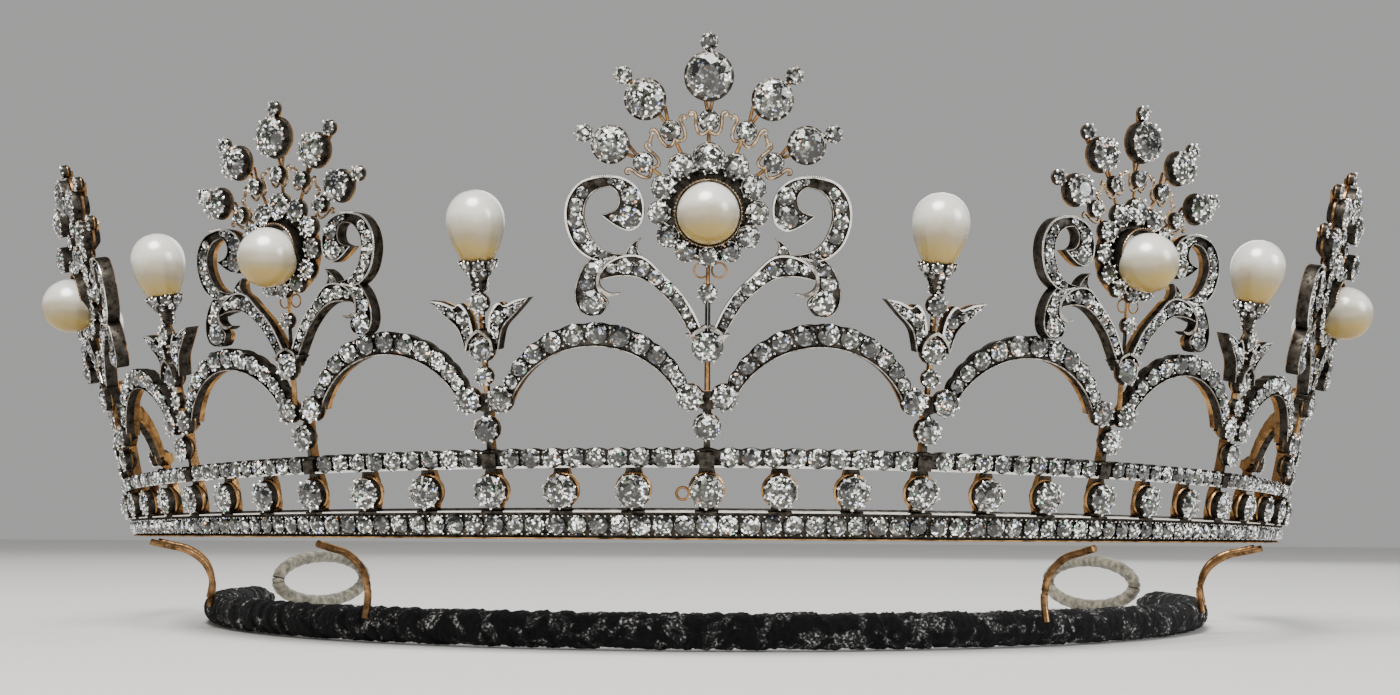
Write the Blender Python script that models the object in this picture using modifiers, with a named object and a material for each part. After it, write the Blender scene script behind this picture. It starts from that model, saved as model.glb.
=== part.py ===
"""A pearl tiara: a flared circlet with an arcade of stone-set arches, five scrolled palmettes round button
pearls and six drop pearl finials, held above a horseshoe frame wound with velvet.

Metres, +Z up. The front faces -Y. An angle along the circlet counts from the front, positive towards +X.
A motif is drawn flat: u to the right, v up the flared wall from the circlet's lower edge, both in millimetres,
and its front faces -Y until it is leaned and turned into place.
"""
import math

import bmesh
import bpy
from mathutils import Matrix, Vector

MM = 0.001

# Circlet: the flared wall that everything is set on
WALL_RADIUS = 90.0
WALL_RADIUS_AT = 4.9
LEAN = math.radians(13.2)
FOOT_RADIUS = WALL_RADIUS - WALL_RADIUS_AT * math.sin(LEAN)
BAND_HEIGHT = 10.1
BAND_TAPER = 0.22
RAIL_DEPTH = 1.8
LOWER_RAIL = (0.0, 3.2)
UPPER_RAIL = (7.8, BAND_HEIGHT)
BAY = math.radians(15.2)
BAYS_A_SIDE = 6
COLLETS_A_BAY = 3
COLLET_V = 5.45
COLLET_WIDTH = 3.7
RAIL_STEPS_A_BAY = 2

# Arcade: one arch a bay, thicker at its crown than at its feet
ARCH_CENTRE_V = 12.3
ARCH_RADIUS = 10.2
ARCH_FOOT_ANGLE = math.radians(19.0)
ARCH_FOOT_WIDTH = 1.6
ARCH_CROWN_WIDTH = 2.8
ARCH_STEPS = 7
ARCH_DEPTH = 1.9

# Junction trefoils: three stones on a pin between two arches
JUNCTION_V = 12.5
JUNCTION_TOP_V = 15.7
JUNCTION_SPREAD = 1.8
JUNCTION_STONE = 1.3
PIN_WIDTH = 0.8

# Motifs
SEAT_GAP = 0.3
STEM_FOOT_V = 16.7
STEM_WIDTH = 0.8
PALMETTE_SCALE = {0: 1.0, 2: 0.93, 4: 1.0}
PALMETTE_OUT = {0: 1.2, 2: 2.2, 4: 1.2}
PALMETTE_UPRIGHT = {0: 0.0, 2: math.radians(5.5), 4: 0.0}
FINIAL_SCALE = {1: 1.0, 3: 1.04, 5: 1.0}
RAY_FRONT = 0.15
HALO_V = 35.5
HALO_RADIUS = 5.2
HALO_STONE = 1.25
HALO_STONES = 12
BUTTON_RADIUS = 3.25
DROP_FOOT_V = 30.75
DROP_HEIGHT = 8.0
DROP_RADIUS = 3.05

# Velvet frame and the wires between it and the circlet
CORE_RADIUS = 77.2
CORE_THICKNESS = 4.6
CORE_DROP = 10.6
CORE_END = math.radians(100.0)
CORE_SIDES = 10
CORE_STEPS = 35
GROUND = CORE_DROP + CORE_THICKNESS / 2
WIRE_THICKNESS = 1.0
HOOK_ANGLES = {"front": math.radians(31.0), "side": math.radians(60.0), "back": math.radians(84.0)}
LOOP_THICKNESS = 2.3
LOOP_LENGTH = 23.3
LOOP_HEIGHT = 8.1

FACETS = 8

SILVER = (0.55, 0.54, 0.52, 1.0)
GOLD = (0.80, 0.52, 0.22, 1.0)
STONE = (0.88, 0.90, 0.92, 1.0)
PEARL = (0.90, 0.84, 0.72, 1.0)
VELVET = (0.010, 0.010, 0.014, 1.0)
SILK = (0.52, 0.48, 0.38, 1.0)


def cleared_scene():
    for obj in list(bpy.data.objects):
        bpy.data.objects.remove(obj)


def collection_named(name):
    made = bpy.data.collections.new(name)
    bpy.context.scene.collection.children.link(made)
    return made


def material_named(name, colour, roughness, metallic):
    made = bpy.data.materials.new(name)
    made.use_nodes = True
    shader = made.node_tree.nodes["Principled BSDF"]
    shader.inputs["Base Color"].default_value = colour
    shader.inputs["Roughness"].default_value = roughness
    shader.inputs["Metallic"].default_value = metallic
    return made


def band_share(angle):
    """How tall the circlet is at this angle, against its front: it narrows towards the back."""
    return 1.0 - BAND_TAPER * math.sin(angle) ** 2


def wall_height(angle, v):
    """The v of the front, brought down by what the circlet has narrowed at this angle."""
    if v <= BAND_HEIGHT:
        return v * band_share(angle)
    return v - BAND_HEIGHT * (1.0 - band_share(angle))


def wall_place(angle, v=0.0, scale=1.0):
    """A frame on the wall: x along it, z up its slope, -y straight out of its front, in metres."""
    up = wall_height(angle, v)
    radius = (FOOT_RADIUS + up * math.sin(LEAN)) * MM
    height = (GROUND + up * math.cos(LEAN)) * MM
    spot = Vector((radius * math.sin(angle), -radius * math.cos(angle), height))
    turn = Matrix.Rotation(angle, 4, "Z") @ Matrix.Rotation(LEAN, 4, "X")
    return Matrix.Translation(spot) @ turn @ Matrix.Scale(scale, 4)


def wall_point(angle, v, out):
    """A point on the wall, out millimetres in front of its middle surface."""
    return wall_place(angle, v) @ Vector((0.0, -out * MM, 0.0))


def flat_point(u, v, out):
    """A point of a motif that is drawn flat, with its foot on the junction."""
    return Vector((u, -out, v - JUNCTION_V)) * MM


def lofted(shapes, sections):
    """A closed body through sections of equal point counts, capped at both ends."""
    rings = [[shapes.verts.new(point) for point in section] for section in sections]
    count = len(rings[0])
    for ring, after in zip(rings, rings[1:]):
        for i in range(count):
            j = (i + 1) % count
            shapes.faces.new((ring[i], ring[j], after[j], after[i]))
    shapes.faces.new(list(reversed(rings[0])))
    shapes.faces.new(rings[-1])


def bar_section(left, right, back, front, point):
    """Four corners of a bar across its path: left and right are (u, v), point places them."""
    corners = ((left, back), (right, back), (right, front), (left, front))
    return [point(where[0], where[1], out) for where, out in corners]


def add_strip(shapes, path, widths, back, front, point=flat_point):
    """A flat bar along a path of (u, v), whose width changes from point to point."""
    sections = []
    for i, (here, width) in enumerate(zip(path, widths)):
        before = Vector(path[max(i - 1, 0)])
        after = Vector(path[min(i + 1, len(path) - 1)])
        along = (after - before).normalized()
        across = Vector((-along.y, along.x)) * (width / 2)
        middle = Vector(here)
        sections.append(bar_section(middle + across, middle - across, back, front, point))
    lofted(shapes, sections)


def add_plate(shapes, outline, back, front, point=flat_point):
    """A flat plate cut to an outline of (u, v)."""
    lofted(shapes, [[point(u, v, out) for u, v in outline] for out in (back, front)])


def add_cut(shapes, place, radius, back, front, table=0.58, height=None):
    """A cut stone in its collet: a straight-sided octagon below, eight facets and a table above.

    place is a frame whose -y is the way the stone faces. A height makes the octagon taller than wide.
    """
    stretch = 1.0 if height is None else height / (2 * radius)
    rings = ((radius, stretch, back), (radius * table, 1.0, front))
    sections = []
    for size, tall, out in rings:
        corners = [math.tau * (i + 0.5) / FACETS for i in range(FACETS)]
        sections.append(
            [place @ (Vector((size * math.cos(a), -out, size * tall * math.sin(a))) * MM) for a in corners]
        )
    lofted(shapes, sections)


def flat_place(u, v):
    return Matrix.Translation(flat_point(u, v, 0.0))


def outward(shapes):
    bmesh.ops.recalc_face_normals(shapes, faces=shapes.faces)


def mesh_object(name, shapes, material, collection, place=None):
    outward(shapes)
    mesh = bpy.data.meshes.new(name)
    shapes.to_mesh(mesh)
    shapes.free()
    obj = bpy.data.objects.new(name, mesh)
    obj.data.materials.append(material)
    if place is not None:
        obj.matrix_world = place
    collection.objects.link(obj)
    return obj


def soldered(name, groups, material, place=None):
    """One solid from groups of closed shapes: the shapes of one group stay clear of each other."""
    body = mesh_object(name, groups[0], material, parts, place)
    for i, group in enumerate(groups[1:], start=1):
        tool = mesh_object(f"{name}_joined_{i}", group, material, cutters, place)
        tool.hide_render = True
        tool.display_type = "WIRE"
        union = body.modifiers.new(f"solder_{i}", "BOOLEAN")
        union.operation = "UNION"
        union.solver = "EXACT"
        union.object = tool
    return body


def smooth(obj, sharp_degrees=40.0):
    obj.data.shade_smooth()
    obj.data.set_sharp_from_angle(angle=math.radians(sharp_degrees))


def wire_object(name, points, thickness, material, sides=6, closed=False):
    """A round wire along points in metres, drawn with an even number of sides."""
    curve = bpy.data.curves.new(name, "CURVE")
    curve.dimensions = "3D"
    curve.bevel_depth = thickness * MM / 2
    curve.bevel_resolution = (sides - 4) // 2
    curve.use_fill_caps = True
    line = curve.splines.new("POLY")
    line.points.add(len(points) - 1)
    for spot, point in zip(line.points, points):
        spot.co = (*point, 1.0)
    line.use_cyclic_u = closed
    obj = bpy.data.objects.new(name, curve)
    obj.data.materials.append(material)
    parts.objects.link(obj)
    return obj


def turned_object(name, profile, material, place, steps=10):
    """A body turned about its own z from a profile of (radius, z) in millimetres, top to bottom."""
    shapes = bmesh.new()
    spots = [shapes.verts.new(Vector((radius, 0.0, z)) * MM) for radius, z in profile]
    for first, second in zip(spots, spots[1:]):
        shapes.edges.new((first, second))
    mesh = bpy.data.meshes.new(name)
    shapes.to_mesh(mesh)
    shapes.free()
    obj = bpy.data.objects.new(name, mesh)
    obj.data.materials.append(material)
    obj.matrix_world = place
    parts.objects.link(obj)
    screw = obj.modifiers.new("turn", "SCREW")
    screw.steps = steps
    screw.render_steps = steps
    screw.use_merge_vertices = True
    screw.merge_threshold = 0.00001
    screw.use_smooth_shade = True
    return obj


def side_name(step):
    """The plain name of a junction, counted in bays from the front."""
    if step == 0:
        return "centre"
    return f"{'left' if step < 0 else 'right'}_{abs(step)}"


def circlet():
    """Two stone-set rails with single collets between them, an arcade of arches and its trefoils."""
    end = BAYS_A_SIDE * BAY
    half = RAIL_DEPTH / 2

    rails = bmesh.new()
    steps = 2 * BAYS_A_SIDE * RAIL_STEPS_A_BAY
    for low, high in (LOWER_RAIL, UPPER_RAIL):
        sections = []
        for i in range(steps + 1):
            angle = -end + 2 * end * i / steps
            corners = ((low, -half), (low, half), (high, half), (high, -half))
            sections.append([wall_point(angle, v, out) for v, out in corners])
        lofted(rails, sections)

    collets = bmesh.new()
    count = 2 * BAYS_A_SIDE * COLLETS_A_BAY
    reach = UPPER_RAIL[0] - LOWER_RAIL[1] + 1.2
    for i in range(count + 1):
        angle = -end + 2 * end * i / count
        share = band_share(angle)
        place = wall_place(angle, COLLET_V)
        add_cut(collets, place, COLLET_WIDTH / 2, -0.6, 1.35, height=reach * share)

    arches = bmesh.new()
    for bay in range(-BAYS_A_SIDE, BAYS_A_SIDE):
        middle = (bay + 0.5) * BAY

        def on_arch(u, v, out, middle=middle):
            return wall_point(middle + u / WALL_RADIUS, v, out)

        path, widths = [], []
        for i in range(ARCH_STEPS + 1):
            turn = ARCH_FOOT_ANGLE + (math.pi - 2 * ARCH_FOOT_ANGLE) * i / ARCH_STEPS
            path.append((ARCH_RADIUS * math.cos(turn), ARCH_CENTRE_V + ARCH_RADIUS * math.sin(turn)))
            rise = (math.sin(turn) - math.sin(ARCH_FOOT_ANGLE)) / (1 - math.sin(ARCH_FOOT_ANGLE))
            widths.append(ARCH_FOOT_WIDTH + (ARCH_CROWN_WIDTH - ARCH_FOOT_WIDTH) * rise)
        add_strip(arches, path, widths, -ARCH_DEPTH / 2, ARCH_DEPTH / 2 - 0.05, point=on_arch)

    pins = bmesh.new()
    upper_stones = bmesh.new()
    lower_stones = bmesh.new()
    pin = PIN_WIDTH / 2
    spread = JUNCTION_SPREAD + 0.4
    for step in range(-BAYS_A_SIDE, BAYS_A_SIDE + 1):
        angle = step * BAY

        def on_wall(u, v, out, angle=angle):
            return wall_point(angle + u / WALL_RADIUS, v, out)

        outline = [
            (-pin, BAND_HEIGHT - 0.6),
            (pin, BAND_HEIGHT - 0.6),
            (pin, JUNCTION_V),
            (spread, JUNCTION_TOP_V + 0.3),
            (-spread, JUNCTION_TOP_V + 0.3),
            (-pin, JUNCTION_V),
        ]
        add_plate(pins, outline, -0.7, 0.55, point=on_wall)
        add_cut(lower_stones, wall_place(angle, JUNCTION_V), JUNCTION_STONE, 0.1, 1.5)
        for side in (-1, 1):
            place = wall_place(angle + side * JUNCTION_SPREAD / WALL_RADIUS, JUNCTION_TOP_V)
            add_cut(upper_stones, place, JUNCTION_STONE, 0.2, 1.6)
    return soldered("circlet", [rails, collets, pins, arches, upper_stones, lower_stones], silver)


def both_sides(path):
    """The path and its mirror image about u = 0."""
    return [[(side * u, v) for u, v in path] for side in (1, -1)]


def palmette_rays():
    """Each ray of a palmette: (small stone, its radius), (large stone, its radius), (tip stone, its radius)."""
    upright = [((0.0, 45.2), 1.25), ((0.0, 49.8), 2.3), ((0.0, 53.4), 0.85)]
    slanted = [((4.0, 44.1), 1.1), ((6.7, 47.4), 2.0), ((9.0, 49.8), 0.9)]
    level = [((6.9, 40.8), 1.05), ((10.35, 42.65), 1.8), ((13.2, 43.85), 0.87)]
    rays = {"top": upright}
    for name, ray in (("upper", slanted), ("lower", level)):
        rays[f"{name}_right"] = ray
        rays[f"{name}_left"] = [((-u, v), radius) for (u, v), radius in ray]
    return rays


def palmette_scrolls():
    """The two scrolls of the right side, as (u, v) and the ribbon's width there, from root to curled end."""
    lower = [
        ((1.1, 23.2), 1.3),
        ((3.6, 26.9), 1.8),
        ((8.2, 29.5), 2.1),
        ((12.6, 28.6), 2.1),
        ((13.5, 26.9), 2.2),
        ((12.3, 25.2), 2.4),
        ((10.1, 26.0), 0.5),
    ]
    upper = [
        ((9.4, 30.2), 1.2),
        ((12.4, 31.1), 1.7),
        ((14.5, 34.3), 2.0),
        ((13.5, 37.9), 2.1),
        ((10.6, 38.9), 2.1),
        ((8.5, 35.4), 2.4),
        ((9.7, 34.0), 2.2),
        ((11.7, 35.1), 0.5),
    ]
    return lower, upper


def palmette_place(step):
    """A palmette stands a little in front of the arches, so its scrolls pass over their crowns.

    The second one on each side is smaller and stands more upright than the wall.
    """
    rank = abs(step)
    upright = Matrix.Rotation(-PALMETTE_UPRIGHT[rank], 4, "X")
    forward = Matrix.Translation((0.0, -PALMETTE_OUT[rank] * MM, 0.0))
    return wall_place(step * BAY, JUNCTION_V, PALMETTE_SCALE[rank]) @ upright @ forward


def palmette(step):
    """The metal of one palmette: a stem and fan, four curled scrolls, the pearl's halo and five rays."""
    halo = bmesh.new()
    outline = []
    for i in range(HALO_STONES):
        middle = math.tau * i / HALO_STONES
        for turn, radius in ((middle - math.pi / HALO_STONES, HALO_RADIUS + 0.3), (middle, HALO_RADIUS + HALO_STONE)):
            outline.append((radius * math.sin(turn), HALO_V + radius * math.cos(turn)))
    add_plate(halo, outline, -0.8, 0.5)

    scrolls = bmesh.new()
    upper_scrolls = bmesh.new()
    for ribbon, shapes in zip(palmette_scrolls(), (scrolls, upper_scrolls)):
        widths = [width for _, width in ribbon]
        for path in both_sides([spot for spot, _ in ribbon]):
            add_strip(shapes, path, widths, -0.85, 0.85)

    wires = bmesh.new()
    add_strip(wires, [(0.0, STEM_FOOT_V), (0.0, 32.0)], [STEM_WIDTH, STEM_WIDTH], -0.7, 0.2)
    rays = palmette_rays()
    for (small, _), _, (tip, _) in rays.values():
        toward = (Vector(small) - Vector((0.0, HALO_V))).normalized() * (HALO_RADIUS - 0.4)
        root = (toward.x, HALO_V + toward.y)
        add_strip(wires, [root, small, tip], [0.8, 0.7, 0.5], -0.6, RAY_FRONT)

    settings = bmesh.new()
    for (small, small_radius), _, (tip, tip_radius) in rays.values():
        add_cut(settings, flat_place(*small), small_radius, -0.5, 1.3)
        add_cut(settings, flat_place(*tip), tip_radius, -0.5, 1.0)
    add_cut(settings, flat_place(0.0, 21.2), 1.55, 0.35, 1.9)
    add_cut(settings, flat_place(0.0, 27.0), 1.0, -0.4, 1.2)

    fan = bmesh.new()
    leaf = [(0.0, 19.5), (1.7, 20.8), (2.6, 24.2), (1.0, 23.0), (0.0, 24.0), (-1.0, 23.0), (-2.6, 24.2), (-1.7, 20.8)]
    add_plate(fan, leaf, -0.5, 0.6)

    groups = [halo, scrolls, upper_scrolls, wires, fan, settings]
    return soldered(f"palmette_{side_name(step)}", groups, silver, palmette_place(step))


def ray_stones(step):
    """The five large stones of a palmette in their collets, each seated on its ray."""
    place = palmette_place(step)
    for name, ray in palmette_rays().items():
        spot, radius = ray[1]
        shapes = bmesh.new()
        add_cut(shapes, flat_place(*spot), radius, RAY_FRONT + SEAT_GAP, 2.4, table=0.6)
        mesh_object(f"stone_{side_name(step)}_{name}", shapes, stone, parts, place)


def button_pearl(step):
    """A round pearl with a flat back, seated on the halo's plate."""
    seat = 0.5 + SEAT_GAP
    back, dome_steps = 0.62, 5
    start = math.acos(back)
    profile = []
    for i in range(dome_steps + 1):
        turn = start + (math.pi - start) * i / dome_steps
        profile.append((BUTTON_RADIUS * math.sin(turn), BUTTON_RADIUS * (back - math.cos(turn))))
    profile[-1] = (0.0, profile[-1][1])
    profile.insert(0, (0.0, profile[0][1]))
    profile.reverse()
    facing = Matrix.Translation(flat_point(0.0, HALO_V, seat)) @ Matrix.Rotation(math.pi / 2, 4, "X")
    return turned_object(f"button_pearl_{side_name(step)}", profile, pearl, palmette_place(step) @ facing)


def finial(step):
    """The metal below a drop pearl: a stem with three stones, two leaves and the pearl's cap."""
    stem = bmesh.new()
    add_strip(stem, [(0.0, STEM_FOOT_V), (0.0, 28.6)], [STEM_WIDTH, STEM_WIDTH], -0.6, 0.25)

    leaves = bmesh.new()
    leaf = [(0.3, 20.2), (3.4, 22.9), (5.7, 26.1), (3.4, 25.7), (1.9, 26.6), (1.3, 24.0)]
    for outline in both_sides(leaf):
        add_plate(leaves, outline, -0.5, 0.6)

    settings = bmesh.new()
    add_cut(settings, flat_place(0.0, 21.3), 1.3, 0.3, 1.7)
    add_cut(settings, flat_place(0.0, 18.3), 0.95, -0.4, 1.1)
    add_cut(settings, flat_place(0.0, 26.4), 1.05, -0.45, 1.2)

    cap = bmesh.new()
    height = 2.3
    upright = Matrix.Translation(flat_point(0.0, DROP_FOOT_V - SEAT_GAP - height / 2, 0.0))
    bmesh.ops.create_cone(
        cap,
        cap_ends=True,
        segments=FACETS,
        radius1=0.7 * MM,
        radius2=1.55 * MM,
        depth=height * MM,
        matrix=upright,
    )
    place = wall_place(step * BAY, JUNCTION_V, FINIAL_SCALE[abs(step)])
    return soldered(f"finial_{side_name(step)}", [stem, leaves, settings, cap], silver, place)


def drop_pearl(step):
    """An egg-shaped pearl, widest above its middle, standing on the finial's cap."""
    rings = 7
    foot_radius = 1.2
    profile = [(0.0, DROP_HEIGHT)]
    for i in range(1, rings + 1):
        turn = math.pi * i / (rings + 0.7)
        share = 0.5 * (1 + math.cos(turn))
        fullness = math.sin(turn) ** (0.85 + 0.35 * (1 - share))
        profile.append((DROP_RADIUS * fullness, DROP_HEIGHT * share))
    profile[-1] = (foot_radius, 0.0)
    profile.append((0.0, 0.0))
    place = wall_place(step * BAY, JUNCTION_V, FINIAL_SCALE[abs(step)])
    foot = Matrix.Translation(flat_point(0.0, DROP_FOOT_V, 0.0))
    return turned_object(f"drop_pearl_{side_name(step)}", profile, pearl, place @ foot)


def core_point(angle, radius, height):
    return (radius * MM * math.sin(angle), -radius * MM * math.cos(angle), height * MM)


def velvet_frame():
    """The horseshoe that sits on the hair, resting on the lowest of its sides: a wire core wound with velvet."""
    rest = CORE_THICKNESS / 2 * math.cos(math.pi / CORE_SIDES)
    points = []
    for i in range(CORE_STEPS + 1):
        angle = -CORE_END + 2 * CORE_END * i / CORE_STEPS
        points.append(core_point(angle, CORE_RADIUS, rest))
    return wire_object("velvet_frame", points, CORE_THICKNESS, velvet, sides=CORE_SIDES)


def end_loop(side):
    """The open loop at one end of the velvet frame: wire bound with a silk ribbon."""
    along = Vector((-0.45, 0.89, 0.0)).normalized()
    end = Vector(core_point(CORE_END, CORE_RADIUS, 0.0)) / MM
    middle = end + along * (LOOP_LENGTH / 2 + LOOP_THICKNESS / 2 + SEAT_GAP)
    middle.z = (LOOP_HEIGHT + LOOP_THICKNESS) / 2
    turns = 10
    points = []
    for i in range(turns):
        turn = math.tau * i / turns
        spot = middle + along * (LOOP_LENGTH / 2 * math.cos(turn))
        spot.z += LOOP_HEIGHT / 2 * math.sin(turn)
        points.append((side * spot.x * MM, spot.y * MM, spot.z * MM))
    name = f"end_loop_{'left' if side < 0 else 'right'}"
    return wire_object(name, points, LOOP_THICKNESS, silk, closed=True)


def wire_hook(side, name, angle):
    """A gold wire from under the circlet, in and down to the side of the velvet frame."""
    profile = [(88.7, -0.85), (88.0, -1.8), (84.6, -2.7), (81.4, -4.3), (80.2, -7.0), (80.3, -9.9)]
    points = [core_point(side * angle, radius, GROUND + z) for radius, z in profile]
    return wire_object(f"wire_hook_{'left' if side < 0 else 'right'}_{name}", points, WIRE_THICKNESS, gold)


def centred_on_floor():
    """Slides all parts so that the whole stands with the middle of its box over the origin."""
    bpy.context.view_layer.update()
    graph = bpy.context.evaluated_depsgraph_get()
    depths = []
    for obj in parts.objects:
        shown = obj.evaluated_get(graph)
        mesh = shown.to_mesh()
        depths += [(shown.matrix_world @ vertex.co).y for vertex in mesh.vertices]
        shown.to_mesh_clear()
    shift = Matrix.Translation((0.0, -(min(depths) + max(depths)) / 2, 0.0))
    for obj in list(parts.objects) + list(cutters.objects):
        obj.matrix_world = shift @ obj.matrix_world


cleared_scene()
parts = collection_named("pearl_tiara")
cutters = collection_named("pearl_tiara_cutters")
cutters.hide_render = True

silver = material_named("oxidised_silver", SILVER, 0.35, 1.0)
gold = material_named("yellow_gold", GOLD, 0.28, 1.0)
stone = material_named("cut_diamond", STONE, 0.05, 0.0)
pearl = material_named("natural_pearl", PEARL, 0.22, 0.0)
velvet = material_named("black_velvet", VELVET, 0.95, 0.0)
silk = material_named("cream_silk", SILK, 0.7, 0.0)

smooth(circlet())
for bays in (-4, -2, 0, 2, 4):
    palmette(bays)
    ray_stones(bays)
    button_pearl(bays)
for bays in (-5, -3, -1, 1, 3, 5):
    finial(bays)
    drop_pearl(bays)
velvet_frame()
for hand in (-1, 1):
    end_loop(hand)
    for where, turn_to in HOOK_ANGLES.items():
        wire_hook(hand, where, turn_to)
centred_on_floor()
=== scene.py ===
"""The looks of a pearl tiara: silver-fronted, gold-backed metal set with old-cut diamonds, button and drop
pearls, on a velvet-wound frame.

Metres, +Z up, the front faces -Y. An angle counts from the front, positive towards +X. On the flared wall
u runs to the right and v up the slope, in millimetres, and out is how far a point stands in front of it.
"""

import math
import random

import bmesh
import bpy
from mathutils import Matrix, Vector


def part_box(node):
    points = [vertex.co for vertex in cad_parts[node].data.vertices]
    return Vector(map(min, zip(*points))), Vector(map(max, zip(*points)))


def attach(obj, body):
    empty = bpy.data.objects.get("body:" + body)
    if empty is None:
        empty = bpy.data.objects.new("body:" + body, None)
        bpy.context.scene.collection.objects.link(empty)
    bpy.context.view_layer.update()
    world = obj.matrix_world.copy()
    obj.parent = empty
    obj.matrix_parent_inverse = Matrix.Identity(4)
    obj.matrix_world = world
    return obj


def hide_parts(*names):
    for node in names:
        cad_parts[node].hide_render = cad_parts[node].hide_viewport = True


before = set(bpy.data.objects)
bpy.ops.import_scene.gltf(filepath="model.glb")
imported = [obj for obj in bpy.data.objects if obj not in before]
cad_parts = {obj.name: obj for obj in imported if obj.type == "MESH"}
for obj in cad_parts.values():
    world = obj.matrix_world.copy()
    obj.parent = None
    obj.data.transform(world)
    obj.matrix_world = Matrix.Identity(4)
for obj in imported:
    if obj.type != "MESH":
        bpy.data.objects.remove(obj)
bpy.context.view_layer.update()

# The wall
# The tiara is a horseshoe of metal that flares outward and gets lower towards the back. Everything is
# fixed to this wall, so its shape comes first, measured from the velvet frame that it stands over.
MM = 0.001
VELVET_REACH = 79.5
VELVET_HALF_FACET = math.radians(100.0 / 35)
CENTRE_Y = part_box("velvet_frame")[0].y + VELVET_REACH * math.cos(VELVET_HALF_FACET) * MM
FOOT_HEIGHT = 12.9
LEAN = math.radians(13.2)
WALL_RADIUS = 90.0
BAND_MIDDLE_V = 4.9
FOOT_RADIUS = WALL_RADIUS - BAND_MIDDLE_V * math.sin(LEAN)
BAND_HEIGHT = 10.1
BAND_TAPER = 0.22
BAY = math.radians(15.2)
BAYS_A_SIDE = 6


def band_share(angle):
    """How tall the circlet is here, against its front."""
    return 1.0 - BAND_TAPER * math.sin(angle) ** 2


def round_the_centre(radius, angle, height):
    """The point in metres at a radius, an angle and a height above the table."""
    return Vector((radius * MM * math.sin(angle), CENTRE_Y - radius * MM * math.cos(angle), height * MM))


def wall_frame(angle, v, scale=1.0):
    """A frame on the wall: x along it, z up its slope, -y straight out of its front."""
    share = band_share(angle)
    up = v * share if v <= BAND_HEIGHT else v - BAND_HEIGHT * (1.0 - share)
    spot = round_the_centre(FOOT_RADIUS + up * math.sin(LEAN), angle, FOOT_HEIGHT + up * math.cos(LEAN))
    turn = Matrix.Rotation(angle, 4, "Z") @ Matrix.Rotation(LEAN, 4, "X")
    return Matrix.Translation(spot) @ turn @ Matrix.Scale(scale, 4)


def on_wall_from(middle):
    """Gives the frame at any u and v of the wall, with u counted from the angle middle."""
    return lambda u, v: wall_frame(middle + u / WALL_RADIUS, v)


# Finishes of the metal
# The fronts are silver, which has darkened to grey in every hollow and stays bright where cloths and
# fingers touch it; the dark silver on walls, floors, cups and bezels is also painted shade. The backs are
# yellow gold with a brown bloom, rubbed paler on the finest wires, where the pale gold is also a painted
# highlight. Most colours are kept darker than clean metal, partly as a painted reflection of a dark surround.
def plug(tree, node, inputs):
    """Links each named input of a node to a socket, or sets it to a plain value."""
    for name, value in inputs.items():
        if isinstance(value, bpy.types.NodeSocket):
            tree.links.new(value, node.inputs[name])
        else:
            node.inputs[name].default_value = value


def add_node(tree, kind, inputs=None, **fields):
    """A new shader node, with its fields set before its inputs."""
    node = tree.nodes.new(f"ShaderNode{kind}")
    for field, value in fields.items():
        setattr(node, field, value)
    plug(tree, node, inputs or {})
    return node


def over_piece(tree):
    """The place of each point on its piece."""
    return add_node(tree, "TexCoord").outputs["Object"]


def noise(tree, scale, detail=2.0, roughness=0.5, distortion=0.0):
    """Cloudy patches over a piece, as values on both sides of a half."""
    return add_node(tree, "TexNoise", {
        "Vector": over_piece(tree),
        "Scale": scale,
        "Detail": detail,
        "Roughness": roughness,
        "Distortion": distortion,
    }).outputs["Fac"]


def scaled(tree, value, factor, base=0.0):
    """The value times the factor, plus the base."""
    return add_node(tree, "Math", {0: value, 1: factor, 2: base}, operation="MULTIPLY_ADD").outputs[0]


def ramp(tree, value, stops, interpolation="LINEAR"):
    """The colour that stops of (place, grey or colour) give to a value."""
    made = add_node(tree, "ValToRGB", {"Fac": value})
    made.color_ramp.interpolation = interpolation
    elements = made.color_ramp.elements
    while len(elements) < len(stops):
        elements.new(0.5)
    for element, (place, shade) in zip(elements, stops):
        element.position = place
        element.color = (shade, shade, shade, 1.0) if isinstance(shade, float) else (*shade, 1.0)
    return made.outputs["Color"]


def bumped(tree, height, strength, distance):
    """The normal of a surface with this fine relief, whose depth is given in metres."""
    relief = {"Height": height, "Strength": strength, "Distance": distance}
    return add_node(tree, "Bump", relief).outputs["Normal"]


def new_material(name, inputs):
    """A material with these plain values on its shader, and its node tree and shader."""
    made = bpy.data.materials.new(name)
    made.use_nodes = True
    shader = made.node_tree.nodes["Principled BSDF"]
    plug(made.node_tree, shader, inputs)
    return made, made.node_tree, shader


def tarnish_group():
    """Patches of tarnish, fine scratches as a height, and how rough the metal is."""
    group = bpy.data.node_groups.new("tarnish_and_scratches", "ShaderNodeTree")
    for label, value in (("Patch Scale", 900.0), ("Patch Spread", 0.5), ("Roughness", 0.3)):
        socket = group.interface.new_socket(label, in_out="INPUT", socket_type="NodeSocketFloat")
        socket.default_value = value
    for label in ("Tarnish", "Roughness", "Height"):
        group.interface.new_socket(label, in_out="OUTPUT", socket_type="NodeSocketFloat")
    given = group.nodes.new("NodeGroupInput").outputs
    patches = noise(group, given["Patch Scale"], 4.0, 0.65)
    spread = add_node(group, "MapRange", {"Value": patches, "From Min": 0.38, "From Max": 0.66})
    tarnish_and_glint_patches = scaled(group, spread.outputs["Result"], given["Patch Spread"])
    plug(group, group.nodes.new("NodeGroupOutput"), {
        "Tarnish": tarnish_and_glint_patches,
        "Roughness": scaled(group, tarnish_and_glint_patches, 0.25, given["Roughness"]),
        "Height": noise(group, 6500.0),
    })
    return group


tarnish = tarnish_group()


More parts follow.
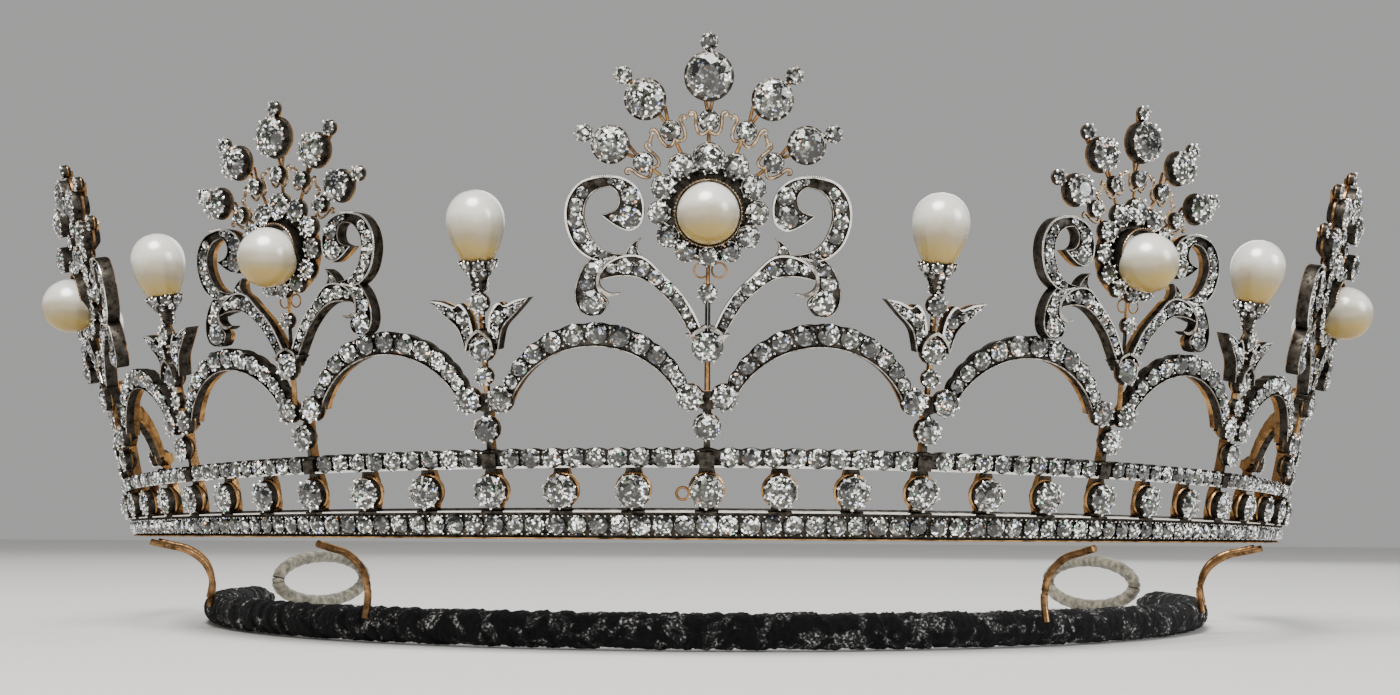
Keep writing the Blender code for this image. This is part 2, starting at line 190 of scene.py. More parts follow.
def metal(name, clean, tarnished, patch_scale, patch_spread, roughness, scratch_strength):
    """A metal between its clean and its tarnished colour, with scratches."""
    tint = (*[0.35 + 0.65 * share for share in clean], 1.0)
    made, tree, shader = new_material(name, {"Metallic": 1.0, "Specular Tint": tint})
    effect = add_node(tree, "Group", node_tree=tarnish)
    plug(tree, effect, {"Patch Scale": patch_scale, "Patch Spread": patch_spread, "Roughness": roughness})
    plug(tree, shader, {
        "Base Color": ramp(tree, effect.outputs["Tarnish"], [(0.0, clean), (1.0, tarnished)]),
        "Roughness": effect.outputs["Roughness"],
        "Normal": bumped(tree, effect.outputs["Height"], scratch_strength, 0.00004),
    })
    return made


# oxidised silver that is also painted shade, worn silver, old gold, rubbed silver, and pale gold that is also
# a painted highlight
METALS = [
    metal("oxidised_silver", (0.085, 0.075, 0.062), (0.012, 0.010, 0.008), 1100.0, 1.0, 0.40, 0.35),
    metal("worn_silver", (0.60, 0.56, 0.50), (0.13, 0.11, 0.09), 1300.0, 1.0, 0.20, 0.2),
    metal("old_yellow_gold", (0.52, 0.295, 0.12), (0.09, 0.043, 0.018), 480.0, 1.0, 0.24, 0.3),
    metal("rubbed_silver", (0.93, 0.91, 0.87), (0.50, 0.46, 0.40), 1600.0, 0.5, 0.13, 0.15),
    metal("rubbed_gold_and_painted_highlight", (0.72, 0.54, 0.35), (0.15, 0.09, 0.045), 1500.0, 1.0, 0.18, 0.2),
]
DARK, EDGE, GOLD, BRIGHT, PALE = range(5)


# Old-cut diamonds
# Each stone is cut by hand with a small table, a high crown and a deep pavilion, so it throws back broad
# light and dark flashes with a few sparks of colour. Here the flashes are painted into the facets' colour and
# the sparks are painted, glowing, into their emission. It is cold to the touch, hard and perfectly smooth.
FACETS = 8
TABLE, STARS, CROWN_FOOT, PAVILION_TOP, WAIST, CULET = (FACETS * count for count in (0, 1, 2, 4, 6, 7))
# painted flashes: facet colours from near black to white that stand in for light and dark reflections
PAINTED_FLASHES = [
    (0.0, (0.005, 0.005, 0.004)),
    (0.26, (0.026, 0.028, 0.020)),
    (0.46, (0.070, 0.074, 0.056)),
    (0.64, (0.17, 0.178, 0.145)),
    (0.78, (0.40, 0.415, 0.37)),
    (0.87, (1.0, 1.0, 1.0)),
]
# painted sparks and their painted fire colours, which glow through the emission
PAINTED_SPARKS = [(0.0, 0.0), (0.895, (0.95, 0.96, 0.98))]
PAINTED_FIRE = [(0.0, 1.0), (0.90, (1.0, 0.42, 0.16)), (0.94, (0.35, 0.45, 1.0)), (0.98, (0.3, 1.0, 0.6))]
chance = random.Random(11)


class Work:
    """The shapes of one piece as points and faces, with the place of each face's material."""

    def __init__(self):
        self.points, self.faces, self.finishes = [], [], []

    def add(self, points, faces, finishes):
        start = len(self.points)
        self.points += [tuple(point) for point in points]
        self.faces += [tuple(start + i for i in face) for face in faces]
        self.finishes += finishes if isinstance(finishes, list) else [finishes] * len(faces)


def old_cut():
    """Points and faces of a stone of radius 1 that faces -y."""
    points = []
    for count, radius, out, first in (
        (FACETS, 0.50, 0.36, 0.0),
        (FACETS, 0.74, 0.24, 0.5),
        (2 * FACETS, 1.0, 0.03, 0.0),
        (2 * FACETS, 1.0, -0.03, 0.0),
        (FACETS, 0.46, -0.52, 0.5),
    ):
        turns = [math.tau * (i + first) / count for i in range(count)]
        points += [Vector((radius * math.cos(turn), -out, radius * math.sin(turn))) for turn in turns]
    points.append(Vector((0.0, 0.92, 0.0)))
    faces = [tuple(range(FACETS))]
    for k in range(FACETS):
        after, before = (k + 1) % FACETS, (k - 1) % FACETS
        near, middle, far = 2 * k, 2 * k + 1, (2 * k + 2) % (2 * FACETS)
        faces += [
            (TABLE + k, TABLE + after, STARS + k),
            (TABLE + k, STARS + before, CROWN_FOOT + near, STARS + k),
            (STARS + k, CROWN_FOOT + near, CROWN_FOOT + middle),
            (STARS + k, CROWN_FOOT + middle, CROWN_FOOT + far),
            (CROWN_FOOT + near, CROWN_FOOT + middle, PAVILION_TOP + middle, PAVILION_TOP + near),
            (CROWN_FOOT + middle, CROWN_FOOT + far, PAVILION_TOP + far, PAVILION_TOP + middle),
            (PAVILION_TOP + near, PAVILION_TOP + middle, WAIST + k),
            (PAVILION_TOP + middle, PAVILION_TOP + far, WAIST + k),
            (PAVILION_TOP + near, WAIST + before, CULET, WAIST + k),
        ]
    return points, faces


stone_points, stone_faces = old_cut()


def set_stone(stones, place, radius, tilt=4.0):
    """A stone of this radius in millimetres, turned and tilted a little as a hand setter leaves it."""
    lean = Matrix.Rotation(math.radians(chance.uniform(-tilt, tilt)), 4, "X")
    lean @= Matrix.Rotation(math.radians(chance.uniform(-tilt, tilt)), 4, "Z")
    turn = Matrix.Rotation(chance.uniform(0.0, math.tau), 4, "Y")
    seat = place @ lean @ turn @ Matrix.Scale(radius * MM, 4)
    stones.add([seat @ point for point in stone_points], stone_faces, 0)


def cells(tree, scale):
    """Small even cells over a piece, each with chance values of its own."""
    colour = add_node(tree, "TexVoronoi", {"Vector": over_piece(tree), "Scale": scale}).outputs["Color"]
    return add_node(tree, "SeparateColor", {"Color": colour}).outputs


def tinted(tree, first, second):
    """Two colours multiplied."""
    inputs = {"Factor": 1.0, "A": first, "B": second}
    return add_node(tree, "Mix", inputs, data_type="RGBA", blend_type="MULTIPLY").outputs["Result"]


def diamond():
    """Clear stone with painted light: painted flashes of light and dark over its facets in a broken pattern,
    and rare painted sparks of colour that glow.
    """
    made, tree, shader = new_material("old_cut_diamond_with_painted_flashes", {
        "IOR": 2.417,
        "Roughness": 0.02,
        "Specular IOR Level": 0.18,
        "Transmission Weight": 0.12,
        "Emission Strength": 2.6,
    })
    # painted light: flashes in the base colour and glowing sparks in the emission, both dimmed in patches
    painted_flash_dimming = ramp(tree, noise(tree, 420.0, 0.0), [(0.36, 0.14), (0.54, 1.0)])
    painted_flashes = ramp(tree, cells(tree, 3000.0)["Red"], PAINTED_FLASHES, "CONSTANT")
    points = cells(tree, 4600.0)
    painted_sparks = ramp(tree, points["Red"], PAINTED_SPARKS, "CONSTANT")
    painted_fire = ramp(tree, points["Green"], PAINTED_FIRE, "CONSTANT")
    plug(tree, shader, {
        "Base Color": tinted(tree, painted_flashes, painted_flash_dimming),
        "Emission Color": tinted(tree, tinted(tree, painted_sparks, painted_fire), painted_flash_dimming),
    })
    return made


cut_diamond = diamond()


# Collets, claws and grains
# A single stone sits in a cup of silver on a gold back, held by small claws filed from the cup's wall. In
# a row the stones share their walls, and beads of silver raised with a graver hold them at the sides.
WIRE_SIDES = 6


def bead():
    """Points and faces of a small round bead of radius 1."""
    shapes = bmesh.new()
    bmesh.ops.create_icosphere(shapes, subdivisions=1, radius=1.0)
    points = [vertex.co.copy() for vertex in shapes.verts]
    faces = [tuple(vertex.index for vertex in face.verts) for face in shapes.faces]
    shapes.free()
    return points, faces


bead_points, bead_faces = bead()


def shifted(place, u=0.0, v=0.0, out=0.0, turn=0.0):
    """A frame moved across its own face and turned in it."""
    return place @ Matrix.Translation(Vector((u, -out, v)) * MM) @ Matrix.Rotation(turn, 4, "Y")


def add_bead(metalwork, place, out, radius, finish=BRIGHT, length=1.0):
    """A bead in front of the frame's origin, length times as long up the frame's z as it is wide."""
    size = Matrix.Diagonal((radius * MM, radius * MM, radius * length * MM, 1.0))
    seat = shifted(place, out=out) @ size
    metalwork.add([seat @ point for point in bead_points], bead_faces, finish)


def skin(rows, closed=False):
    """Points and faces of a surface through rows of equally many points, with its ends shut or joined."""
    count, width = len(rows), len(rows[0])
    faces = []
    for i in range(count if closed else count - 1):
        here, after = i * width, (i + 1) % count * width
        for j in range(width):
            k = (j + 1) % width
            faces.append((here + j, here + k, after + k, after + j))
    if not closed:
        faces += [tuple(range(width)), tuple(range((count - 1) * width, count * width))]
    return [point for row in rows for point in row], faces


def turned(metalwork, place, profile, finishes, sides):
    """A closed ring or body turned round the way the frame faces, from a profile of (radius, out)."""
    rows = []
    for i in range(sides):
        turn = math.tau * i / sides
        across = Vector((math.cos(turn), 0.0, math.sin(turn)))
        rows.append([place @ ((across * radius + Vector((0.0, -out, 0.0))) * MM) for radius, out in profile])
    metalwork.add(*skin(rows, closed=True), finishes * sides)


def ring(metalwork, place, radius, thickness):
    """A ring of round gold wire that lies in the frame's face."""
    profile = []
    for i in range(WIRE_SIDES):
        turn = math.tau * i / WIRE_SIDES
        profile.append((radius + thickness / 2 * math.cos(turn), thickness / 2 * math.sin(turn)))
    turned(metalwork, place, profile, [GOLD] * WIRE_SIDES, 14)


def collet(
    metalwork, stones, place, radius, claws=8, depth=1.4, girdle=0.0, sides=14, cup=0.08, grip=1.0, ledge=DARK
):
    """A stone in its cup: the girdle stands girdle mm in front of the frame, the cup goes depth mm back."""
    seat = shifted(place, out=girdle)
    lip = radius * (1.03 + cup)
    profile = [
        (radius * 0.93, 0.0),
        (radius * 1.03, 0.05),
        (radius * 1.03, -0.45 * depth),
        (lip, -0.52 * depth),
        (lip, -0.64 * depth),
        (radius * 0.66, -depth),
        (radius * 0.52, -depth),
        (radius * 0.80, -0.4 * depth),
    ]
    # the cup's walls, and its ledge unless another finish is given, are dark oxidised silver that is also
    # painted shade round the stone
    turned(metalwork, seat, profile, [EDGE, DARK, ledge, GOLD, DARK, GOLD, DARK, DARK], sides)
    set_stone(stones, seat, radius)
    claw = (0.11 + 0.045 * radius) * grip
    for i in range(claws):
        turn = math.tau * (i + 0.5) / claws + chance.uniform(-0.07, 0.07)
        reach = radius * chance.uniform(1.01, 1.05)
        spot = shifted(seat, reach * math.cos(turn), reach * math.sin(turn), 0.14, math.pi / 2 - turn)
        add_bead(metalwork, spot, 0.0, claw * chance.uniform(0.85, 1.15), length=1.25)


# Circlet rails
# Two silver rails with gold backs run round the wall, each drilled and set with a row of diamonds. Between
# them stands a row of single stones in collets, and a bright filed edge runs along each rail.
RAIL_BACK, RAIL_FRONT, RAIL_FLOOR = -0.9, 0.85, 0.45
LOWER_MIDDLE, LOWER_WIDTH = 1.6, 3.2
UPPER_MIDDLE, UPPER_WIDTH = 8.95, 2.3
SCALLOP = 0.36
GOLD_BACKING = 0.7
RAIL_STEP = 0.5
WALL_END = BAYS_A_SIDE * BAY * WALL_RADIUS
STONES_A_BAY = 10
PITCH = BAY * WALL_RADIUS / STONES_A_BAY
COLLETS_A_BAY = 3
COLLET_PITCH = BAY * WALL_RADIUS / COLLETS_A_BAY
COLLET_V = 5.45
on_wall = on_wall_from(0.0)


def finished(name, work, materials, nodes=(), sharp_degrees=35.0):
    """Makes the piece's mesh, fixes it to the part and lets it stand for its CAD nodes."""
    mesh = bpy.data.meshes.new(name)
    mesh.from_pydata(work.points, [], work.faces)
    for material in materials:
        mesh.materials.append(material)
    mesh.polygons.foreach_set("material_index", work.finishes)
    shapes = bmesh.new()
    shapes.from_mesh(mesh)
    bmesh.ops.recalc_face_normals(shapes, faces=shapes.faces)
    shapes.to_mesh(mesh)
    shapes.free()
    if sharp_degrees:
        mesh.shade_smooth()
        mesh.set_sharp_from_angle(angle=math.radians(sharp_degrees))
    piece = bpy.data.objects.new(name, mesh)
    bpy.context.collection.objects.link(piece)
    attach(piece, "root")
    if nodes:
        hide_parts(*nodes)


def plate(metalwork, left, right, section, at):
    """Sweeps a section between two outlines of (u, v) that have equally many points.

    The section's points are (side, inset, out, finish of the face that follows): side 1 counts from the left
    outline and -1 from the right.
    """
    rows = []
    for (u, v), (far_u, far_v) in zip(left, right):
        across = Vector((far_u - u, far_v - v))
        width = max(across.length, 1e-6)
        row = []
        for side, inset, out, _ in section:
            share = min(inset / width, 0.45)
            spot = Vector((u, v)) + across * (share if side > 0 else 1.0 - share)
            row.append(at(spot.x, spot.y) @ Vector((0.0, -out * MM, 0.0)))
        rows.append(row)
    kinds = [finish for *_, finish in section] * (len(rows) - 1)
    metalwork.add(*skin(rows), kinds + [DARK, DARK])


def heading_at(line, i):
    """The way a line of (u, v) runs at one of its points."""
    before, after = line[max(i - 1, 0)], line[min(i + 1, len(line) - 1)]
    return Vector((after[0] - before[0], after[1] - before[1])).normalized()


def ribbon(metalwork, line, section, at, bulges=None):
    """Sweeps a section along a line of (u, v, width), whose right edge swells by any bulges given."""
    left, right = [], []
    for i, (u, v, width) in enumerate(line):
        along = heading_at(line, i)
        near, far = width / 2, width / 2 + (bulges[i] if bulges else 0.0)
        left.append((u - along.y * near, v + along.x * near))
        right.append((u + along.y * far, v - along.x * far))
    plate(metalwork, left, right, section, at)


def channel(back, front, floor, rims, shine=(EDGE, EDGE)):
    """A ribbon's section: gold back, dark walls, and rims of two widths beside a sunk dark floor. The dark
    walls and floor are oxidised silver that is also painted shade.

    Without a right rim that side is the stones' own wall, which stays below their girdles.
    """
    left_rim, right_rim = rims
    if right_rim:
        right = [
            (-1, right_rim + 0.06, floor, DARK),
            (-1, right_rim, front, shine[1]),
            (-1, 0.04, front, shine[1]),
            (-1, 0.0, front - 0.10, DARK),
            (-1, 0.0, back + 0.1, GOLD),
            (-1, 0.05, back, GOLD),
        ]
    else:
        right = [
            (-1, 0.24, floor, DARK),
            (-1, 0.14, front - 0.3, DARK),
            (-1, 0.10, front - 0.5, DARK),
            (-1, 0.3, back + 0.1, GOLD),
            (-1, 0.35, back, GOLD),
        ]
    return [
        (1, 0.05, back, GOLD),
        (1, 0.0, back + GOLD_BACKING, DARK),
        (1, 0.0, front - 0.10, shine[0]),
        (1, 0.04, front, shine[0]),
        (1, left_rim, front, DARK),
        (1, left_rim + 0.06, floor, DARK),
        *right,
    ]


def bar(back, front, finish, face):
    """A plain square section with another finish on its face."""
    return [(1, 0.0, back, finish), (1, 0.0, front, face), (-1, 0.0, front, finish), (-1, 0.0, back, finish)]


def wall_line(v, width, first=WALL_END, last=-WALL_END):
    """A line along the wall at one height from right to left, so that its left side is below."""
    count = max(1, round(abs(first - last) / RAIL_STEP))
    return [(first + (last - first) * i / count, v, width) for i in range(count + 1)]


def scallop(length, stones, depth, spread):
    """How far a scalloped edge stands out here: a low arc round each stone at (place, radius)."""
    place, radius = min(stones, key=lambda stone: abs(stone[0] - length))
    share = (length - place) / (radius * spread)
    return depth * max(0.0, 1.0 - share * share)


def rail_stone_row():
    """Each stone as (u, radius, is it over a junction): ten a bay in front, more where the rail is lower."""
    row = []
    for bay in range(-BAYS_A_SIDE, BAYS_A_SIDE):
        share = band_share((bay + 0.5) * BAY)
        count = round(STONES_A_BAY / share)
        pitch = BAY * WALL_RADIUS / count
        for i in range(count):
            row.append((bay * BAY * WALL_RADIUS + i * pitch, min(1.13 * share, pitch * 0.475), i == 0))
    row.append((WALL_END, row[-1][1] * 0.9, True))
    return row


def rail_grains(u, heights, aside, out, radius):
    """Pairs of beads at both edges of a rail, after the stone at u."""
    share = band_share(u / WALL_RADIUS)
    for v in heights:
        for hand in (-1, 1):
            spot = on_wall(u + PITCH / 2 + hand * aside * share, v)
            add_bead(rails, spot, RAIL_FLOOR + out, radius * share)


rails, rail_stones = Work(), Work()
rail_row = rail_stone_row()
lower_section = channel(RAIL_BACK, RAIL_FRONT, RAIL_FLOOR, (0.2, 0.2), (DARK, DARK))
ribbon(rails, wall_line(LOWER_MIDDLE, LOWER_WIDTH), lower_section, on_wall)
upper_section = channel(RAIL_BACK, RAIL_FRONT, RAIL_FLOOR, (0.25, 0.0), (BRIGHT, DARK))
upper_line = wall_line(UPPER_MIDDLE, UPPER_WIDTH - SCALLOP)
rail_places = [(u, radius) for u, radius, _ in rail_row]
upper_edge = [scallop(u, rail_places, SCALLOP, 1.12) for u, _, _ in upper_line]
ribbon(rails, upper_line, upper_section, on_wall, upper_edge)
ribbon(rails, wall_line(0.12, 0.14), bar(0.3, 0.92, GOLD, GOLD), on_wall)
for u, radius, at_junction in rail_row:
    set_stone(rail_stones, shifted(on_wall(u, LOWER_MIDDLE), out=RAIL_FLOOR + 0.3), radius)
    rail_grains(u, (0.58, 2.62), 0.34, 0.3, 0.15)
    # in the upper rail a dark plate takes the place of a stone where a trefoil's pin comes down
    if at_junction:
        half = 0.8 * band_share(u / WALL_RADIUS)
        block = wall_line(UPPER_MIDDLE - 0.1, 1.7, u + half, u - half)
        ribbon(rails, block, bar(0.2, 0.98, DARK, DARK), on_wall)
        continue
    set_stone(rail_stones, shifted(on_wall(u, UPPER_MIDDLE + 0.14), out=RAIL_FLOOR + 0.4), radius)
    rail_grains(u, (UPPER_MIDDLE - 0.66, UPPER_MIDDLE + 0.86), 0.3, 0.38, 0.14)

# the collets' feet and heads run on to both rails behind their stones
for i in range(-BAYS_A_SIDE * COLLETS_A_BAY, BAYS_A_SIDE * COLLETS_A_BAY + 1):
    u = i * COLLET_PITCH
    radius = 1.8 * (0.35 + 0.65 * band_share(u / WALL_RADIUS))
    collet(rails, rail_stones, on_wall(u, COLLET_V), radius, 10, 1.9, 1.25, sides=20, cup=0.10, ledge=GOLD)
    post = [(u, 2.7, 1.3), (u, 4.2, 2.2), (u, 6.6, 2.2), (u, 8.2, 1.4)]
    ribbon(rails, post, bar(-0.7, 0.1, GOLD, DARK), on_wall)
    if i < BAYS_A_SIDE * COLLETS_A_BAY:
        edge = wall_line(3.16, 0.16, u + COLLET_PITCH - 1.3, u + 1.3)
        ribbon(rails, edge, bar(0.5, 0.98, EDGE, BRIGHT), on_wall)
ring(rails, shifted(on_wall(-2.6, 5.0), out=0.1), 0.7, 0.3)
finished("rails", rails, METALS, ["circlet"])
finished("rail_diamonds", rail_stones, [cut_diamond], sharp_degrees=0)


# Arcade
# Twelve arches stand on the upper rail between pins. Each is a silver channel on a thick gold back, set
# with a row of diamonds that grow from its feet to its crown and scallop its outer edge.
ARCH_CENTRE_V = 12.3
ARCH_RADIUS = 10.2
ARCH_FOOT_ANGLE = math.radians(19.0)
ARCH_FOOT_WIDTH, ARCH_CROWN_WIDTH = 1.35, 2.55
ARCH_SCALLOP = 0.22
ARCH_STONES_OUT = 0.88
ARCH_STEPS = 90


def lengths_along(path):
    """How far along its line each point of a path lies."""
    lengths = [0.0]
    for a, b in zip(path, path[1:]):
        lengths.append(lengths[-1] + math.hypot(b[0] - a[0], b[1] - a[1]))
    return lengths


def point_at(path, lengths, goal):
    """Which stretch of a path this length falls in, and the point there with every value blended."""
    i = 0
    while i < len(lengths) - 2 and lengths[i + 1] < goal:
        i += 1
    share = (goal - lengths[i]) / max(lengths[i + 1] - lengths[i], 1e-9)
    return i, tuple(a + (b - a) * share for a, b in zip(path[i], path[i + 1]))


def arch_line():
    """One arch as (u, v, width), from its right foot to its left."""
    line = []
    for i in range(ARCH_STEPS + 1):
        turn = ARCH_FOOT_ANGLE + (math.pi - 2 * ARCH_FOOT_ANGLE) * i / ARCH_STEPS
        rise = (math.sin(turn) - math.sin(ARCH_FOOT_ANGLE)) / (1 - math.sin(ARCH_FOOT_ANGLE))
        width = ARCH_FOOT_WIDTH + (ARCH_CROWN_WIDTH - ARCH_FOOT_WIDTH) * rise
        line.append((ARCH_RADIUS * math.cos(turn), ARCH_CENTRE_V + ARCH_RADIUS * math.sin(turn), width))
    return line


def arch_row(line, lengths, fill=0.94, aside=0.10, gap=0.04):
    """The stones that touch along an arch, each as (place along it, u, v, radius, heading)."""
    stones = []
    place = 0.5 * line[0][2] * fill
    while place < lengths[-1]:
        i, (u, v, width) = point_at(line, lengths, place)
        heading = math.atan2(line[i + 1][1] - line[i][1], line[i + 1][0] - line[i][0])
        radius = width / 2 * fill
        if place + radius > lengths[-1] + 0.1:
            break
        shift = aside * width
        stones.append((place, u + math.sin(heading) * shift, v - math.cos(heading) * shift, radius, heading))
        place += radius * 2.0 + gap
    return stones


arches, arch_stones = Work(), Work()
line = arch_line()
lengths = lengths_along(line)
row = arch_row(line, lengths)
places = [(place, radius) for place, _, _, radius, _ in row]
outer_edge = [scallop(length, places, ARCH_SCALLOP, 1.15) for length in lengths]
for bay in range(-BAYS_A_SIDE, BAYS_A_SIDE):
    at = on_wall_from((bay + 0.5) * BAY)
    ribbon(arches, line, channel(-0.95, 0.9, 0.45, (0.12, 0.0)), at, outer_edge)
    for i, (_, u, v, radius, heading) in enumerate(row):
        set_stone(arch_stones, shifted(at(u, v), out=ARCH_STONES_OUT), radius)
        if i + 1 == len(row):
            continue
        _, next_u, next_v, next_radius, _ = row[i + 1]
        share = radius / (radius + next_radius)
        middle = Vector((u + (next_u - u) * share, v + (next_v - v) * share))
        across = Vector((-math.sin(heading), math.cos(heading)))
        for side in (1, -1):
            spot = middle + across * side * (0.66 * radius)
            add_bead(arches, at(spot.x, spot.y), ARCH_STONES_OUT + 0.04, 0.17 * (0.6 + 0.35 * radius))
    for u, v, _ in (line[1], line[-2]):
        add_bead(arches, at(u, v), 0.8, 0.42)
finished("arches", arches, METALS, ["circlet"])
finished("arch_diamonds", arch_stones, [cut_diamond], sharp_degrees=0)


# Trefoils
# Where two arches meet, three diamonds in collets touch round a small dark hollow, on a pin that goes down
# into the upper rail. Gold runs up the back of the pin.
JUNCTION_V, JUNCTION_TOP_V = 12.5, 15.7
JUNCTION_SPREAD = 1.8
trefoils, trefoil_stones = Work(), Work()
for place in range(-BAYS_A_SIDE, BAYS_A_SIDE + 1):
    at = on_wall_from(place * BAY)
    pin = [(0.0, 9.4, 0.8), (0.0, 11.6, 0.62), (0.0, 14.2, 0.9)]
    ribbon(trefoils, pin, bar(-0.7, 0.4, GOLD, DARK), at)
    tie = [(-2.2, JUNCTION_TOP_V, 1.3), (0.0, JUNCTION_TOP_V - 0.5, 2.2), (2.2, JUNCTION_TOP_V, 1.3)]
    ribbon(trefoils, tie, bar(-0.7, 0.3, GOLD, DARK), at)
    for u, v, radius in (
        (0.0, JUNCTION_V, 1.38),
        (-JUNCTION_SPREAD, JUNCTION_TOP_V, 1.36),
        (JUNCTION_SPREAD, JUNCTION_TOP_V, 1.36),
    ):
        collet(trefoils, trefoil_stones, at(u, v), radius, 9, 1.5, 1.25, grip=1.15)
finished("trefoils", trefoils, METALS, ["circlet"])
finished("trefoil_diamonds", trefoil_stones, [cut_diamond], sharp_degrees=0)


# Palmettes
# Five palmettes stand between the arches. A gold stem carries a folded fan, four scrolls of graduated
# diamonds, a halo round the pearl and five rays of single stones joined by fine curled wires.
PALMETTE_BAYS = (-4, -2, 0, 2, 4)
PALMETTE_SCALE = {0: 1.0, 2: 0.93, 4: 1.0}
PALMETTE_OUT = {0: 1.2, 2: 2.2, 4: 1.2}
PALMETTE_UPRIGHT = {0: 0.0, 2: math.radians(5.5), 4: 0.0}
HALO_V = 35.5
HALO_STONES = [1.6, 1.33, 1.26, 1.18, 1.15, 1.06, 1.0]
HALO_PLATE = [(3.2, -0.8), (5.2, -0.8), (5.2, 0.1), (3.2, 0.3)]
BEZEL = [(3.0, -0.7), (3.62, -0.7), (3.56, 2.1), (3.48, 2.2), (3.28, 2.1), (3.0, 0.7)]
BEZEL_BEADS, BEZEL_BEAD_RADIUS, BEZEL_BEAD_OUT = 54, 3.54, 2.2

# each scroll's parts: the outline nearer the stem or curl, the other outline, and the stones from root to tip
LOWER_MAIN = (
    [(0.7, 23.4), (1.6, 25.25), (2.8, 27.0), (4.0, 28.25), (5.2, 29.4), (6.2, 30.4), (7.2, 31.0), (8.4, 31.1),
     (9.7, 30.8), (10.8, 30.1), (11.5, 29.1)],
    [(1.9, 22.6), (2.7, 24.05), (3.7, 25.6), (4.9, 26.9), (6.2, 27.95), (7.5, 28.6), (8.9, 28.75),
     (10.0, 28.65), (10.7, 28.5), (11.1, 28.4), (11.4, 28.3)],
    [(1.65, 23.5, 0.45), (2.3, 24.85, 0.62), (3.15, 26.2, 0.72), (4.25, 27.45, 0.78), (5.55, 28.6, 0.80),
     (7.05, 29.55, 0.90), (8.8, 29.85, 0.85), (10.3, 29.55, 0.55)],
)
LOWER_OUTER = (
    [(10.3, 30.6), (11.2, 29.8), (11.7, 28.8), (11.75, 27.8), (11.4, 27.0), (10.9, 26.5), (10.6, 26.0),
     (10.75, 25.4), (11.1, 24.9)],
    [(10.9, 31.1), (12.2, 30.8), (13.2, 29.8), (13.85, 28.5), (14.15, 27.2), (14.1, 26.0), (13.6, 25.0),
     (12.7, 24.5), (11.5, 24.6)],
    [(11.35, 30.35, 0.50), (12.3, 29.45, 0.75), (12.85, 28.0, 0.86), (12.35, 25.95, 1.30),
     (10.95, 25.7, 0.28)],
)
UPPER_MAIN = (
    [(8.3, 31.1), (9.6, 31.15), (11.0, 31.5), (12.15, 32.5), (12.9, 34.0), (13.15, 35.4), (12.8, 36.8),
     (11.8, 37.85), (10.3, 38.2)],
    [(9.8, 30.7), (11.2, 30.4), (12.75, 30.7), (14.2, 31.9), (15.0, 33.6), (15.25, 35.4), (14.85, 37.2),
     (13.5, 38.8), (11.2, 39.45)],
    [(11.2, 31.05, 0.52), (12.5, 31.75, 0.80), (13.5, 33.05, 0.84), (14.05, 34.65, 0.84), (14.0, 36.25, 0.76),
     (13.3, 37.6, 0.62)],
)
UPPER_CURL = (
    [(11.3, 39.4), (9.4, 39.3), (7.85, 38.5), (6.95, 37.1), (6.75, 35.6), (7.1, 34.3), (8.3, 33.55),
     (9.8, 34.1), (11.3, 35.2)],
    [(10.4, 38.25), (9.8, 37.75), (9.5, 37.1), (9.5, 36.5), (9.7, 36.0), (10.1, 35.65), (10.6, 35.45),
     (11.0, 35.35), (11.35, 35.3)],
    [(10.35, 38.85, 0.36), (9.4, 38.5, 0.56), (8.2, 37.3, 1.0), (8.3, 35.0, 1.26), (10.1, 34.95, 0.38)],
)
BUD = (
    [(7.1, 30.9), (7.45, 31.6), (7.45, 32.2), (7.1, 32.8)],
    [(8.9, 30.9), (8.55, 31.7), (7.9, 32.4), (7.15, 32.85)],
    [(8.0, 31.5, 0.50)],
)
SCROLL_TIP = [
    (10.8, 30.1, 0.2), (11.55, 29.0, 0.3), (11.7, 27.9, 0.36), (11.2, 27.1, 0.42), (10.3, 26.75, 0.34),
    (9.4, 26.95, 0.1),
]

# each ray's stones (u, v, radius) from the halo outward, and the curl of the lyre as (aside, ahead)
TOP_RAY = [(0.0, 45.2, 0.98), (0.0, 49.8, 2.30), (0.0, 53.4, 0.85)]
UPPER_RAY = [(4.0, 44.1, 0.96), (6.7, 47.4, 1.95), (9.0, 49.9, 0.85)]
LOWER_RAY = [(6.9, 40.8, 0.96), (10.35, 42.65, 1.8), (13.2, 43.85, 0.85)]
LYRE = [
    (0.0, -0.95), (0.3, -1.25), (0.75, -1.45), (1.15, -1.15), (1.36, -0.4), (1.36, 0.3), (1.46, 0.78),
    (1.78, 0.92), (2.0, 0.68), (1.8, 0.45),
]
LYRE_WIRE, LYRE_OUT = 0.38, 0.35


def side_name(step):
    return "centre" if step == 0 else f"{'left' if step < 0 else 'right'}_{abs(step)}"


def motif_ground(place):
    """Gives the frame at any u and v of a motif that is made flat and then leaned into place."""
    return lambda u, v: place @ Matrix.Translation(Vector((u, 0.0, v - JUNCTION_V)) * MM)


def palmette_ground(step):
    """One palmette's ground: set forward, and two of them more upright than the wall."""
    forward = Matrix.Translation((0.0, -PALMETTE_OUT[abs(step)] * MM, 0.0))
    upright = Matrix.Rotation(-PALMETTE_UPRIGHT[abs(step)], 4, "X")
    return motif_ground(wall_frame(step * BAY, JUNCTION_V, PALMETTE_SCALE[abs(step)]) @ upright @ forward)


